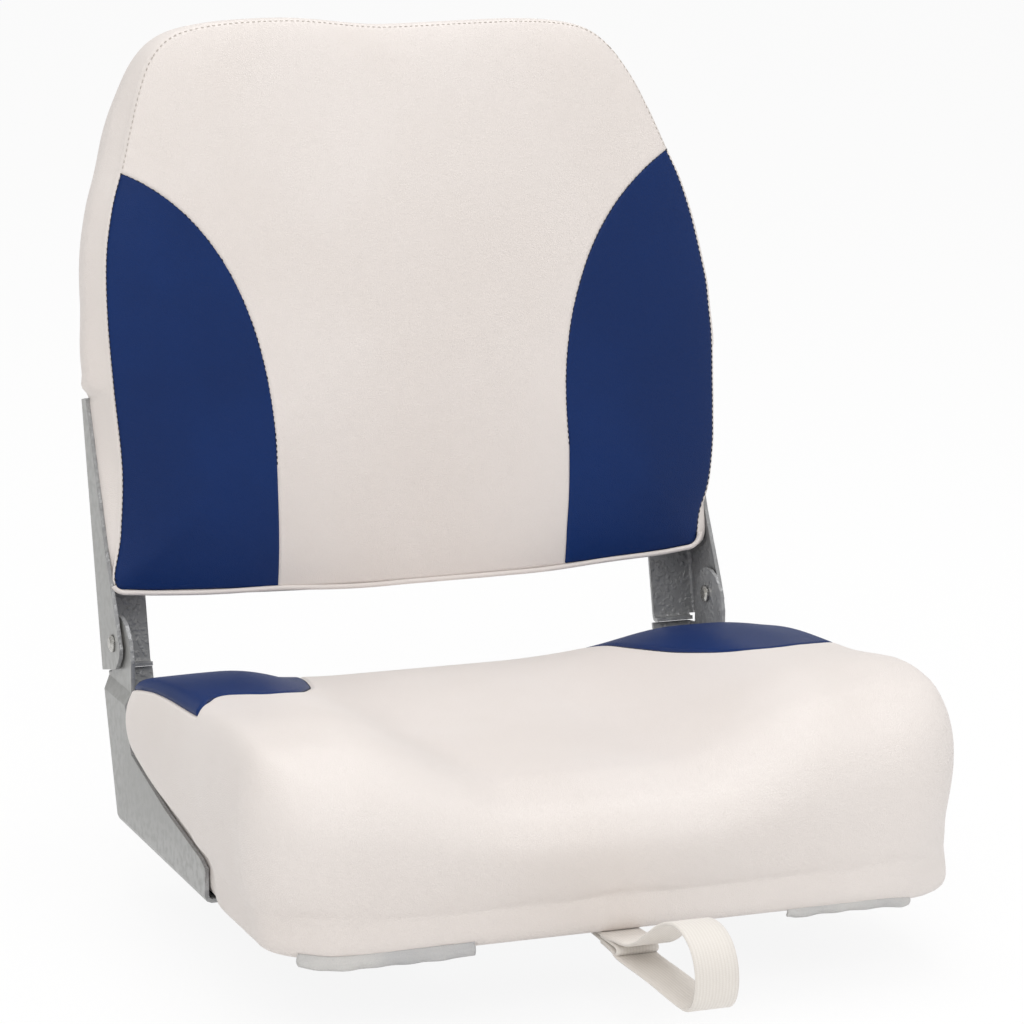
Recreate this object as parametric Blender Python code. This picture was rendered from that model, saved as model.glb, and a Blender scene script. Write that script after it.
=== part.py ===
# Folding boat seat on a flat ball-race swivel
# Metres, +Z up, the sitter faces -Y. The origin is the swivel axis at the
# underside of the lower swivel plate.

import bpy
import bmesh
import math
from mathutils import Matrix, Vector

# Shared fits
fit_gap = 0.0003
cut_overrun = 0.004
sheet_thickness = 0.0025
bend_radius = 0.004
skin_thickness = 0.0012

# Swivel
swivel_height = 0.020
swivel_plate_side = 0.178
swivel_corner_radius = 0.020
swivel_bolt_pattern = 0.127
swivel_bolt_hole = 0.008
race_radius = 0.050
ball_diameter = 0.0075
ball_count = 10
race_width = 0.018
cage_width = 0.018
cage_thickness = 0.0016
hub_flange_radius = 0.020
hub_flange_thickness = 0.0030
hub_shank_radius = 0.010
hub_head_radius = 0.016
hub_head_thickness = 0.0025
hub_hole_radius = 0.0106
dish_ramp = 0.006

# Hinge and brackets
hinge_back = 0.158
hinge_height = 0.113
bracket_half_width = 0.205
recline = math.radians(13.5)
fold_limit = math.radians(90)
washer_thickness = 0.0010
washer_radius = 0.009
rivet_radius = 0.004
rivet_head_radius = 0.0056
rivet_head_thickness = 0.0022
rivet_clearance = 0.0004
back_plane = 0.033
back_bracket_top = 0.1545
back_bracket_foot = 0.0163
back_flange_width = 0.032
lip_depth = 0.0075
seat_flange_width = 0.033
seat_rear_angle = math.radians(19.1)
seat_bracket_reach = 0.192
seat_bracket_nose = 0.021
bottom_flange_width = 0.045
ear_rear = 0.0175
ear_front = 0.026
ear_top = 0.017
joggle_height = 0.008
joggle_drop = 0.034
screw_radius = 0.0025
screw_head_radius = 0.0055
screw_head_thickness = 0.0022
screw_length = 0.011
screw_clearance = 0.0005

# Seat cushion, heights above the underside of the pan
seat_side_room = 0.0040
rear_side_room = 0.0085
seam_half_width = bracket_half_width - seat_side_room
rear_half_width = bracket_half_width - rear_side_room
seat_front_seam = 0.325
seat_front_radius = 0.042
seat_rear_radius = 0.024
seat_crown = 0.088
bolster_height = 0.123
front_bulge = 0.020
pan_thickness = 0.010
pan_hem_width = 0.017
pad_half_width = 0.100
pad_half_depth = 0.105

# Back cushion, in the leaning frame of the backrest
back_bottom = 0.0317
back_height = 0.346
back_bottom_depth = 0.0348
back_top_depth = 0.0565
back_side_room = 0.0070
back_half_width = bracket_half_width - back_side_room
back_crown = 0.014
board_thickness = 0.009
piping_radius = 0.0024
insert_seam_inset = 0.003

# Strap at the front edge
strap_width = 0.026
strap_thickness = 0.0022
strap_offset = 0.002
strap_layer_gap = 0.0005
strap_hinge = 0.336
strap_hinge_gap = 0.0009
strap_tail = 0.040
strap_screw_back = 0.0335
strap_reach = 0.130
strap_rise = 0.050
strap_washer_radius = 0.009
strap_washer_thickness = 0.0012

base_z = swivel_height + fit_gap
hinge_z = base_z + hinge_height
hem_bottom = sheet_thickness + fit_gap
hem_top = hem_bottom + skin_thickness
pan_underside = hem_top + fit_gap
pan_top = pan_underside + pan_thickness

for stale in list(bpy.data.objects):
    bpy.data.objects.remove(stale)


# Materials
def paint(name, rgb, roughness, metallic):
    material = bpy.data.materials.new(name)
    material.use_nodes = True
    shader = material.node_tree.nodes["Principled BSDF"]
    shader.inputs["Base Color"].default_value = (rgb[0], rgb[1], rgb[2], 1)
    shader.inputs["Roughness"].default_value = roughness
    shader.inputs["Metallic"].default_value = metallic
    return material


white_vinyl = paint("white_vinyl", (0.80, 0.76, 0.71), 0.45, 0)
blue_vinyl = paint("blue_vinyl", (0.009, 0.038, 0.127), 0.38, 0)
grey_steel = paint("grey_steel", (0.50, 0.51, 0.52), 0.42, 0.6)
dark_steel = paint("dark_steel", (0.13, 0.13, 0.14), 0.5, 0.5)
nickel = paint("nickel", (0.62, 0.60, 0.57), 0.25, 1)
zinc = paint("zinc", (0.45, 0.46, 0.47), 0.35, 0.9)
foam_pad = paint("foam_pad", (0.72, 0.66, 0.46), 0.95, 0)
black_board = paint("black_board", (0.02, 0.02, 0.022), 0.6, 0)
grey_strip = paint("grey_strip", (0.33, 0.33, 0.34), 0.55, 0)
webbing = paint("webbing", (0.80, 0.76, 0.71), 0.8, 0)
nylon = paint("nylon", (0.75, 0.74, 0.70), 0.5, 0)


# Frames: the seat turns about the swivel, the back leans about the hinge
def empty(name, parent, location, lean=0):
    holder = bpy.data.objects.new(name, None)
    bpy.context.collection.objects.link(holder)
    holder.parent = parent
    holder.location = location
    holder.rotation_euler = (-lean, 0, 0)
    return holder


ground_frame = empty("ground_frame", None, (0, 0, 0))
swivel_axis = empty("swivel_axis", ground_frame, (0, 0, 0))
cage_axis = empty("cage_axis", ground_frame, (0, 0, swivel_height / 2))
seat_frame = empty("seat_frame", swivel_axis, (0, hinge_back, base_z))
back_axis = empty("back_axis", seat_frame, (0, 0, hinge_height), recline)


def piece(name, bm, material, parent, location=(0, 0, 0), rotation=(0, 0, 0), crease=35, closed=True):
    if closed:
        bmesh.ops.recalc_face_normals(bm, faces=bm.faces)
    mesh = bpy.data.meshes.new(name)
    bm.to_mesh(mesh)
    bm.free()
    mesh.materials.append(material)
    mesh.shade_smooth()
    mesh.set_sharp_from_angle(angle=math.radians(crease))
    item = bpy.data.objects.new(name, mesh)
    bpy.context.collection.objects.link(item)
    item.parent = parent
    item.location = location
    item.rotation_euler = rotation
    return item


def cutter(name, bm, parent, location=(0, 0, 0), rotation=(0, 0, 0)):
    tool = piece(name, bm, dark_steel, parent, location, rotation)
    tool.hide_render = True
    tool.display_type = "WIRE"
    return tool


def cut(item, tool, operation="DIFFERENCE", solver="EXACT"):
    step = item.modifiers.new(operation.lower(), "BOOLEAN")
    step.operation = operation
    step.solver = solver
    step.object = tool


def thicken(item, thickness):
    step = item.modifiers.new("thickness", "SOLIDIFY")
    step.thickness = thickness
    step.offset = -1
    step.use_even_offset = True


# Mesh builders
def add_rings(bm, rings, closed=True):
    rows = [[bm.verts.new(point) for point in ring] for ring in rings]
    for lower, upper in zip(rows, rows[1:]):
        count = len(lower)
        for i in range(count if closed else count - 1):
            j = (i + 1) % count
            bm.faces.new((lower[i], lower[j], upper[j]))
            bm.faces.new((lower[i], upper[j], upper[i]))
    return rows


def close_with_pole(bm, row, point):
    pole = bm.verts.new(point)
    for i in range(len(row)):
        bm.faces.new((row[i], row[(i + 1) % len(row)], pole))


def lofted(rings, first_pole=None, last_pole=None):
    bm = bmesh.new()
    rows = add_rings(bm, rings)
    for row, pole in ((rows[0], first_pole), (rows[-1], last_pole)):
        if pole is None:
            bm.faces.new(row)
        else:
            close_with_pole(bm, row, pole)
    return bm


def circle(radius, height, count):
    turn = 2 * math.pi / count
    return [Vector((radius * math.cos(turn * i), radius * math.sin(turn * i), height)) for i in range(count)]


def turned(profile, count):
    return lofted([circle(radius, height, count) for radius, height in profile])


def turned_ring(profile, count):
    bm = bmesh.new()
    rings = [circle(radius, height, count) for radius, height in profile]
    rows = [[bm.verts.new(point) for point in ring] for ring in rings]
    rows.append(rows[0])
    for lower, upper in zip(rows, rows[1:]):
        for i in range(count):
            j = (i + 1) % count
            bm.faces.new((lower[i], lower[j], upper[j], upper[i]))
    return bm


def drum(radius, start, end, count=12):
    return turned([(radius, start), (radius, end)], count)


def sheet(rows, flip):
    bm = bmesh.new()
    grid = [[bm.verts.new(point) if point is not None else None for point in row] for row in rows]
    for lower, upper in zip(grid, grid[1:]):
        for i in range(len(lower) - 1):
            corners = (lower[i], lower[i + 1], upper[i + 1], upper[i])
            if None in corners:
                continue
            bm.faces.new(corners[::-1] if flip else corners)
    for loose in [v for v in bm.verts if not v.link_faces]:
        bm.verts.remove(loose)
    return bm


def blend(value, low, high):
    share = min(1, max(0, (value - low) / (high - low)))
    return share * share * (3 - 2 * share)


def along(table, value):
    if value <= table[0][0]:
        return table[0][1]
    for (a, fa), (b, fb) in zip(table, table[1:]):
        if value <= b:
            return fa + (fb - fa) * (value - a) / (b - a)
    return table[-1][1]


# Swivel: two pressed plates, a ball ring between them and a shouldered hub
quadrant_shares = (0, 0.17, 0.33, 0.42, 0.46, 0.5, 0.54, 0.58, 0.67, 0.83)
directions = [(turn + share) * math.pi / 2 for turn in range(4) for share in quadrant_shares]


def square_ring(side, corner, height):
    half = side / 2
    inner = half - corner
    ring = []
    for angle in directions:
        c, s = math.cos(angle), math.sin(angle)
        reach = half / max(abs(c), abs(s))
        if min(abs(c), abs(s)) * reach > inner:
            mid = inner * (abs(c) + abs(s))
            reach = mid + math.sqrt(mid * mid - 2 * inner * inner + corner * corner)
        ring.append(Vector((reach * c, reach * s, height)))
    return ring


def round_ring(radius, height):
    return [Vector((radius * math.cos(a), radius * math.sin(a), height)) for a in directions]


race_top = swivel_height / 2 - ball_diameter / 2 - fit_gap
race_inner = race_radius - race_width / 2
race_outer = race_radius + race_width / 2
race_floor = race_top - sheet_thickness
bolt_reach = swivel_bolt_pattern / 2
bolt_places = [(x * bolt_reach, y * bolt_reach) for x in (-1, 1) for y in (-1, 1)]


def looped(rings):
    bm = bmesh.new()
    rows = add_rings(bm, rings)
    for i in range(len(rows[0])):
        j = (i + 1) % len(rows[0])
        bm.faces.new((rows[-1][i], rows[-1][j], rows[0][j], rows[0][i]))
    return bm


def raised(rings, rise):
    return [[p + Vector((0, 0, rise)) for p in ring] for ring in rings]


def upturned(rings):
    return [[Vector((p.x, p.y, swivel_height - p.z)) for p in ring] for ring in rings]


def hole_set(name, places, radius, start, end, parent):
    bm = bmesh.new()
    for x, y in places:
        bottom = bm.faces.new([bm.verts.new(p + Vector((x, y, 0))) for p in circle(radius, start, 12)])
        lifted = bmesh.ops.extrude_face_region(bm, geom=[bottom])
        for v in lifted["geom"]:
            if isinstance(v, bmesh.types.BMVert):
                v.co.z = end
    return cutter(name, bm, parent)


outer_rings = [
    round_ring(race_inner, race_floor),
    round_ring(race_outer, race_floor),
    round_ring(race_outer + dish_ramp, 0),
    square_ring(swivel_plate_side, swivel_corner_radius, 0),
]
lower_rings = [round_ring(race_inner - dish_ramp, 0)] + outer_rings
lower_bm = lofted(
    lower_rings + raised(lower_rings[::-1], sheet_thickness),
    Vector((0, 0, 0)),
    Vector((0, 0, sheet_thickness)),
)
lower_plate = piece("swivel_lower_plate", lower_bm, grey_steel, ground_frame)
plate_holes = hole_set(
    "lower_plate_holes",
    bolt_places,
    swivel_bolt_hole / 2,
    -cut_overrun,
    sheet_thickness + cut_overrun,
    ground_frame,
)
cut(lower_plate, plate_holes)

upper_rings = [round_ring(hub_hole_radius, race_floor)] + outer_rings
upper_bm = looped(upturned(upper_rings + raised(upper_rings[::-1], sheet_thickness)))
upper_plate = piece("swivel_upper_plate", upper_bm, grey_steel, swivel_axis)
upper_holes = hole_set(
    "upper_plate_holes",
    bolt_places,
    swivel_bolt_hole / 2,
    swivel_height - sheet_thickness - cut_overrun,
    swivel_height + cut_overrun,
    swivel_axis,
)
cut(upper_plate, upper_holes)

hub_foot = sheet_thickness + fit_gap
hub_shoulder = swivel_height - race_floor + fit_gap
hub_profile = (
    (hub_flange_radius, hub_foot),
    (hub_flange_radius, hub_foot + hub_flange_thickness * 0.5),
    (hub_shank_radius, hub_foot + hub_flange_thickness),
    (hub_shank_radius, hub_shoulder),
    (hub_head_radius, hub_shoulder),
    (hub_head_radius, hub_shoulder + hub_head_thickness * 0.6),
    (hub_head_radius * 0.8, hub_shoulder + hub_head_thickness),
)
piece("swivel_hub_rivet", turned(hub_profile, 24), zinc, ground_frame)

# The cage sits at the balls' middle, and each ball is held in it
cage_inner = race_radius - cage_width / 2
cage_outer = race_radius + cage_width / 2
half_cage = cage_thickness / 2
cage_profile = (
    (cage_outer, -half_cage),
    (cage_outer, half_cage),
    (cage_inner, half_cage),
    (cage_inner, -half_cage),
)
cage = piece("swivel_ball_ring", turned_ring(cage_profile, 30), nickel, cage_axis)
balls_bm = bmesh.new()
for i in range(ball_count):
    angle = 2 * math.pi * i / ball_count
    place = Matrix.Translation((race_radius * math.cos(angle), race_radius * math.sin(angle), 0))
    bmesh.ops.create_uvsphere(balls_bm, u_segments=8, v_segments=6, radius=ball_diameter / 2, matrix=place)
balls = cutter("ball_set", balls_bm, cage_axis)
cut(cage, balls, "UNION")

bolt_head_radius = swivel_bolt_hole * 0.8
bolt_head_thickness = swivel_bolt_hole * 0.4
bolt_radius = swivel_bolt_hole / 2 - fit_gap * 2
bolt_seat = swivel_height - sheet_thickness - fit_gap
bolt_end = base_z + pan_top * 0.7
for index, (x, y) in enumerate(bolt_places):
    bolt_profile = (
        (bolt_head_radius, bolt_seat - bolt_head_thickness),
        (bolt_head_radius, bolt_seat),
        (bolt_radius, bolt_seat),
        (bolt_radius, bolt_end),
    )
    piece("swivel_bolt_%d" % (index + 1), turned(bolt_profile, 12), zinc, swivel_axis, (x, y, 0))
pan_bolt_holes = hole_set(
    "pan_bolt_holes",
    bolt_places,
    swivel_bolt_hole / 2,
    base_z - cut_overrun,
    bolt_end + fit_gap,
    swivel_axis,
)


# Seat brackets: a gusset plate with a joggled ear, a rear flange and a foot
ear_offset = sheet_thickness + washer_thickness + fit_gap * 2
ear_half_width = bracket_half_width - ear_offset
inner_flange = bracket_half_width - seat_flange_width
bend_share = 1 - math.sqrt(0.5)


def rear_line(height):
    return height * math.tan(seat_rear_angle) - sheet_thickness


# The rear flange ends just under the lip of the leaning back bracket
lip_height = hinge_height - back_bracket_foot * math.cos(recline)
flange_front = sheet_thickness * (1 + math.cos(seat_rear_angle)) - back_bracket_foot * math.sin(recline)
flange_rise = sheet_thickness * math.sin(seat_rear_angle) + fit_gap
flange_top = (lip_height + flange_front * math.tan(recline) - flange_rise) / (
    1 + math.tan(seat_rear_angle) * math.tan(recline)
)
joggle_end = hinge_height - joggle_drop + joggle_height
joggle_start = hinge_height - joggle_drop

# Height of the gusset's diagonal edge, and how far forward it has come there
gusset_shares = ((0.19, 1), (0.22, 0.95), (0.31, 0.58), (0.45, 0.20), (0.60, 0.155))
# Outline of the ear above the joggle, as shares of its rise and of its half widths
ear_shares = ((0.03, 1, 1), (0.45, 1, 1), (0.75, 0.86, 0.85), (0.93, 0.55, 0.55), (1, 0.2, 0.2))


def plate_x(height):
    share = (height - joggle_start) / joggle_height
    return bracket_half_width - ear_offset * min(1, max(0, share))


def seat_bracket_rows(side):
    rows = []
    corner = bend_radius * bend_share
    rear = rear_line(bend_radius) - bend_radius
    front = -seat_bracket_reach
    foot_inner = bracket_half_width - bottom_flange_width
    for x, z in (
        (foot_inner, 0),
        (bracket_half_width - bend_radius, 0),
        (bracket_half_width - corner, corner),
    ):
        rows.append([None, None, None, Vector((side * x, rear, z)), Vector((side * x, front, z))])
    levels = [(bend_radius, front), (seat_bracket_nose, front)]
    levels += [(hinge_height * z, front * y) for z, y in gusset_shares]
    levels += [(joggle_start, -ear_front), (joggle_end, -ear_front)]
    levels.append((flange_top, -ear_front))
    for z, reach in levels:
        x = plate_x(z)
        back = rear_line(z)
        rows.append([
            Vector((side * inner_flange, back, z)),
            Vector((side * (x - bend_radius), back, z)),
            Vector((side * (x - corner), back - corner, z)),
            Vector((side * x, back - bend_radius, z)),
            Vector((side * x, reach, z)),
        ])
    lift = hinge_height - flange_top
    for rise, rear_share, front_share in ear_shares:
        z = flange_top + (lift + ear_top) * rise
        rows.append([
            None,
            None,
            None,
            Vector((side * ear_half_width, ear_rear * rear_share, z)),
            Vector((side * ear_half_width, -ear_front * front_share, z)),
        ])
    return rows


def across(name, places, radius, start, end, side, parent):
    bm = bmesh.new()
    for y, z in places:
        ring = [Vector((side * start, y + p.x, z + p.y)) for p in circle(radius, 0, 16)]
        far = [Vector((side * end, p.y, p.z)) for p in ring]
        rows = add_rings(bm, [ring, far])
        bm.faces.new(rows[0])
        bm.faces.new(rows[1])
    return cutter(name, bm, parent)


def lengthwise(name, places, radius, start, end, axis, parent, count=12):
    bm = bmesh.new()
    for a, b in places:
        rings = []
        for distance in (start, end):
            if axis == "Z":
                rings.append([Vector((a + p.x, b + p.y, distance)) for p in circle(radius, 0, count)])
            else:
                rings.append([Vector((a + p.x, distance, b + p.y)) for p in circle(radius, 0, count)])
        rows = add_rings(bm, rings)
        bm.faces.new(rows[0])
        bm.faces.new(rows[1])
    return cutter(name, bm, parent)


pivot_hole = rivet_radius + rivet_clearance
foot_screw_x = bracket_half_width - bottom_flange_width * 0.75
foot_screw_rear = 0.02688
foot_screw_front = seat_bracket_reach * 0.86
foot_screw_y = [-foot_screw_rear, -(foot_screw_rear + foot_screw_front) / 2, -foot_screw_front]
for side, label in ((-1, "left"), (1, "right")):
    bracket = piece(
        label + "_seat_bracket",
        sheet(seat_bracket_rows(side), side > 0),
        grey_steel,
        seat_frame,
        closed=False,
    )
    thicken(bracket, sheet_thickness)
    pivot_cut = across(
        label + "_ear_hole",
        [(0, hinge_height)],
        pivot_hole,
        ear_half_width - sheet_thickness - cut_overrun,
        ear_half_width + cut_overrun,
        side,
        seat_frame,
    )
    cut(bracket, pivot_cut)
    foot_cut = lengthwise(
        label + "_foot_holes",
        [(side * foot_screw_x, y) for y in foot_screw_y],
        screw_radius + screw_clearance,
        -cut_overrun,
        sheet_thickness + cut_overrun,
        "Z",
        seat_frame,
    )
    cut(bracket, foot_cut)


# Back brackets: a side plate and a rear flange whose lip rests on the seat bracket
back_plate_shares = ((0.55, -0.38), (0.25, -0.44), (-0.6, -0.35))
back_edge_bottom = 0.0010
back_edge_top = 0.0194
back_edge_break = 0.055
back_screw_shares = (0.32, 0.59, 0.86)


def back_bracket_rows(side):
    corner = bend_radius * bend_share
    wide = bracket_half_width
    narrow = wide - back_flange_width
    rear = back_plane
    foot = -back_bracket_foot
    rows = []
    lip_end = wide - bend_radius - sheet_thickness
    for y, z, plate_y, plate_z in (
        (rear - lip_depth, foot, None, None),
        (rear - bend_radius, foot, None, None),
        (rear - corner, foot + corner, -rear * 0.06, foot),
    ):
        row = [Vector((side * narrow, y, z)), Vector((side * lip_end, y, z)), None, None, None]
        if plate_y is not None:
            row[3] = Vector((side * wide, rear - bend_radius, plate_z))
            row[4] = Vector((side * wide, plate_y, plate_z))
        rows.append(row)
    edges = [(foot + bend_radius, -rear * 0.25)]
    edges += [(foot * z, rear * y) for z, y in back_plate_shares]
    edges += [(back_edge_break, back_edge_bottom), (back_bracket_top, back_edge_top)]
    for index, (z, y) in enumerate(edges):
        inner_bend = lip_end if index == 0 else wide - bend_radius
        rows.append([
            Vector((side * narrow, rear, z)),
            Vector((side * inner_bend, rear, z)),
            Vector((side * (wide - corner), rear - corner, z)),
            Vector((side * wide, rear - bend_radius, z)),
            Vector((side * wide, y, z)),
        ])
    return rows


washer_inner = ear_half_width + fit_gap
washer_outer = washer_inner + washer_thickness
tail_seat = ear_half_width - sheet_thickness - fit_gap
head_seat = bracket_half_width + fit_gap
back_screw_x = bracket_half_width - back_flange_width * 0.6
back_screw_z = [back_bracket_top * share for share in back_screw_shares]
rivet_profile = (
    (rivet_radius * 0.9, tail_seat - rivet_head_thickness),
    (rivet_head_radius, tail_seat - rivet_head_thickness * 0.6),
    (rivet_head_radius, tail_seat),
    (rivet_radius, tail_seat),
    (rivet_radius, head_seat),
    (rivet_head_radius, head_seat),
    (rivet_head_radius, head_seat + rivet_head_thickness * 0.4),
    (rivet_head_radius * 0.6, head_seat + rivet_head_thickness),
)
washer_profile = (
    (washer_radius, washer_inner),
    (washer_radius, washer_outer),
    (pivot_hole, washer_outer),
    (pivot_hole, washer_inner),
)
for side, label in ((-1, "left"), (1, "right")):
    bracket = piece(
        label + "_back_bracket",
        sheet(back_bracket_rows(side), side > 0),
        grey_steel,
        back_axis,
        closed=False,
    )
    thicken(bracket, sheet_thickness)
    pivot_cut = across(
        label + "_pivot_hole",
        [(0, 0)],
        pivot_hole,
        bracket_half_width - sheet_thickness - cut_overrun,
        bracket_half_width + cut_overrun,
        side,
        back_axis,
    )
    cut(bracket, pivot_cut)
    turn = (0, side * math.pi / 2, 0)
    piece(label + "_pivot_rivet", turned(rivet_profile, 16), nickel, seat_frame, (0, 0, hinge_height), turn)
    piece(label + "_pivot_washer", turned_ring(washer_profile, 20), nylon, seat_frame, (0, 0, hinge_height), turn)


# Cushion shapes: rings of one outline, from the crown round the sides
def outline_normals(points):
    count = len(points)
    normals = []
    for i in range(count):
        run = points[(i + 1) % count] - points[i - 1]
        normals.append(Vector((run.y, -run.x)).normalized())
    return normals


def mirrored_outline(start, half, end):
    points = [start] + half + [end] + [Vector((-p.x, p.y)) for p in half[::-1]]
    if sum(a.x * b.y - b.x * a.y for a, b in zip(points, points[1:] + points[:1])) < 0:
        points.reverse()
        points = points[-1:] + points[:-1]
    return points


def inset(rings, pole, depth):
    bm = bmesh.new()
    rows = add_rings(bm, rings)
    centre = bm.verts.new(pole)
    for i in range(len(rows[0])):
        bm.faces.new((rows[0][(i + 1) % len(rows[0])], rows[0][i], centre))
    bmesh.ops.recalc_face_normals(bm, faces=bm.faces)
    middle_point = sum((v.co for v in rows[-1]), Vector()) / len(rows[-1])
    if centre.normal.dot(centre.co - middle_point) < 0:
        bmesh.ops.reverse_faces(bm, faces=bm.faces)
    bm.normal_update()
    moved = [[v.co - v.normal * depth * v.calc_shell_factor() for v in row] for row in rows]
    moved_pole = centre.co - centre.normal * depth
    bm.free()
    return moved, moved_pole


def open_skin(rings, pole, outward):
    bm = bmesh.new()
    rows = add_rings(bm, rings)
    centre = bm.verts.new(pole)
    for i in range(len(rows[0])):
        bm.faces.new((rows[0][(i + 1) % len(rows[0])], rows[0][i], centre))
    bm.normal_update()
    if centre.normal.dot(outward) < 0:
        bmesh.ops.reverse_faces(bm, faces=bm.faces)
    return bm, rows


def slab(polygon, low, high, lying):
    bm = bmesh.new()
    ends = []
    for distance in (low, high):
        ring = []
        for p in polygon:
            level = distance(p) if callable(distance) else distance
            ring.append(Vector((p.x, p.y, level)) if lying else Vector((p.x, level, p.y)))
        ends.append(ring)
    rows = add_rings(bm, ends)
    bm.faces.new(rows[0])
    bm.faces.new(rows[1])
    return bm


def offset_polygon(polygon, distance):
    count = len(polygon)
    area = sum(a.x * b.y - b.x * a.y for a, b in zip(polygon, polygon[1:] + polygon[:1]))
    way = distance if area > 0 else -distance
    moved = []
    for i in range(count):
        before = (polygon[i] - polygon[i - 1]).normalized()
        after = (polygon[(i + 1) % count] - polygon[i]).normalized()
        a, b = Vector((before.y, -before.x)), Vector((after.y, -after.x))
        moved.append(polygon[i] + (a + b) * (way / max(0.01, 1 + a.dot(b))))
    return moved


# Seat cushion outline and heights
rear_seam_height = 0.070
skin_depth = skin_thickness + fit_gap * 2
side_clearance = 0.0010
plate_room = seat_side_room - sheet_thickness - side_clearance
seat_rear = rear_line(rear_seam_height) - sheet_thickness / math.cos(seat_rear_angle) - side_clearance
seat_side_bulge = 0.011
front_band = 0.010
side_band = 0.006
bottom_corner_rise = 0.010
bottom_corner_inset = 0.005
edge_clearance = 0.0025
centre_shares = ((-1, 0.91), (-0.88, 1), (-0.46, 0.975), (-0.06, 0.975), (0, 0.92), (0.06, 0.80))
side_shares = ((-1, 0.68), (-0.93, 0.86), (-0.85, 0.97), (-0.77, 1), (-0.55, 0.965),
               (-0.31, 0.91), (-0.12, 0.79), (0, 0.67), (0.06, 0.585))
bolster_start_share = 0.47
bolster_end_share = 0.93


def seat_half_width(y):
    share = blend(-y, ear_front * 1.15, ear_front * 2.1)
    return rear_half_width + (seam_half_width - rear_half_width) * share


def seat_height(x, y):
    place = y / seat_front_seam
    low = seat_crown * along(centre_shares, place)
    high = bolster_height * along(side_shares, place)
    return low + (high - low) * blend(abs(x) / seam_half_width, bolster_start_share, bolster_end_share)


def arc(cx, cy, radius, angles):
    return [Vector((cx + radius * math.cos(math.radians(a)), cy + radius * math.sin(math.radians(a)))) for a in angles]


rear_flat = rear_half_width - seat_rear_radius
front_flat = seam_half_width - seat_front_radius
side_start = seat_rear - seat_rear_radius
side_end = seat_front_radius - seat_front_seam
seat_half = [Vector((rear_flat * share, seat_rear)) for share in (0.33, 0.66, 1)]
seat_half += arc(rear_flat, side_start, seat_rear_radius, (60, 30, 0))
side_stops = [-ear_front * share for share in (0.8, 1.25, 2.2)]
side_stops += [-seat_bracket_reach * share for share in (0.5, 0.76, 1.015)]
side_stops += [(side_end - seat_bracket_reach) / 2, side_end]
seat_half += [Vector((seat_half_width(y), y)) for y in side_stops]
seat_half += arc(front_flat, side_end, seat_front_radius, (-22.5, -45, -67.5, -90))
seat_half += [Vector((front_flat * share, -seat_front_seam)) for share in (0.66, 0.33)]
seat_outline = mirrored_outline(Vector((0, seat_rear)), seat_half, Vector((0, -seat_front_seam)))
seat_normals = outline_normals(seat_outline)
seat_centre_y = -seat_front_seam * 0.47


def edge_height(y):
    table = [(-seat_bracket_reach * reach, hinge_height * z + edge_clearance) for z, reach in gusset_shares[:4]]
    table.append((-ear_front * 0.8, rear_seam_height * 0.55))
    return along(table, y)


def band_offset(point, normal):
    facing = max(0, -normal.y)
    loose = side_band + (front_band - side_band) * facing
    ahead = blend(-point.y, seat_bracket_reach * 1.02, seat_bracket_reach * 1.15)
    return plate_room + (loose - plate_room) * ahead


def bulge_offset(point, normal):
    facing = max(0, -normal.y)
    full = seat_side_bulge + (front_bulge - seat_side_bulge) * facing
    return full * blend(-point.y, ear_front * 1.25, ear_front * 2.2)


def seat_point(index, z, offset):
    point, normal = seat_outline[index], seat_normals[index]
    drop = seat_height(point.x, point.y) - z
    lean = drop * math.tan(seat_rear_angle) * blend(point.y, -seat_front_seam * 0.3, 0)
    return Vector((point.x + normal.x * offset, point.y + normal.y * offset - lean, z))


def seat_ring(rule):
    return [seat_point(i, *rule(seat_outline[i], seat_normals[i])) for i in range(len(seat_outline))]


def top_ring(share):
    ring = []
    for p in seat_outline:
        x, y = p.x * share, seat_centre_y + (p.y - seat_centre_y) * share
        ring.append(Vector((x, y, seat_height(x, y))))
    return ring


def upper_band(share, fullness):
    def rule(p, n):
        seam, edge = seat_height(p.x, p.y), edge_height(p.y)
        offset = bulge_offset(p, n) * fullness
        return seam + (edge - seam) * share, offset
    return seat_ring(rule)


seat_top_shares = (0.3, 0.52, 0.7, 0.84, 0.95, 1)
seat_pole = Vector((0, seat_centre_y, seat_height(0, seat_centre_y)))
crown_rings = [top_ring(share) for share in seat_top_shares]
crown_rings += [upper_band(0.12, 0.5), upper_band(0.4, 1), upper_band(0.75, 0.8)]
crown_rings.append(seat_ring(lambda p, n: (edge_height(p.y), band_offset(p, n))))
corner_top = hem_bottom + bottom_corner_rise
hem_rings = [
    seat_ring(lambda p, n: (corner_top, band_offset(p, n))),
    seat_ring(lambda p, n: (hem_bottom, band_offset(p, n) - bottom_corner_inset)),
    seat_ring(lambda p, n: (hem_bottom, band_offset(p, n) - pan_hem_width)),
]
foam_rings, foam_pole = inset(crown_rings + hem_rings, seat_pole, skin_depth)
foam_rings = foam_rings[:len(crown_rings)]
foam_floor = pan_top + fit_gap
foam_rings.append(seat_ring(lambda p, n: (foam_floor, band_offset(p, n) - skin_depth)))
foam_bm = lofted(foam_rings, foam_pole, Vector((0, seat_centre_y, foam_floor)))
seat_foam = piece("seat_foam", foam_bm, foam_pad, seat_frame)


# Seat pan: a moulded tray with a recess for the hem and a pad for the swivel
def pad_ring(height):
    ring = []
    for p in seat_outline:
        x = p.x / seam_half_width * pad_half_width
        y = (p.y - seat_centre_y) / seat_front_seam * 2 * pad_half_depth - hinge_back
        ring.append(Vector((x, y, height)))
    return ring


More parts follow.
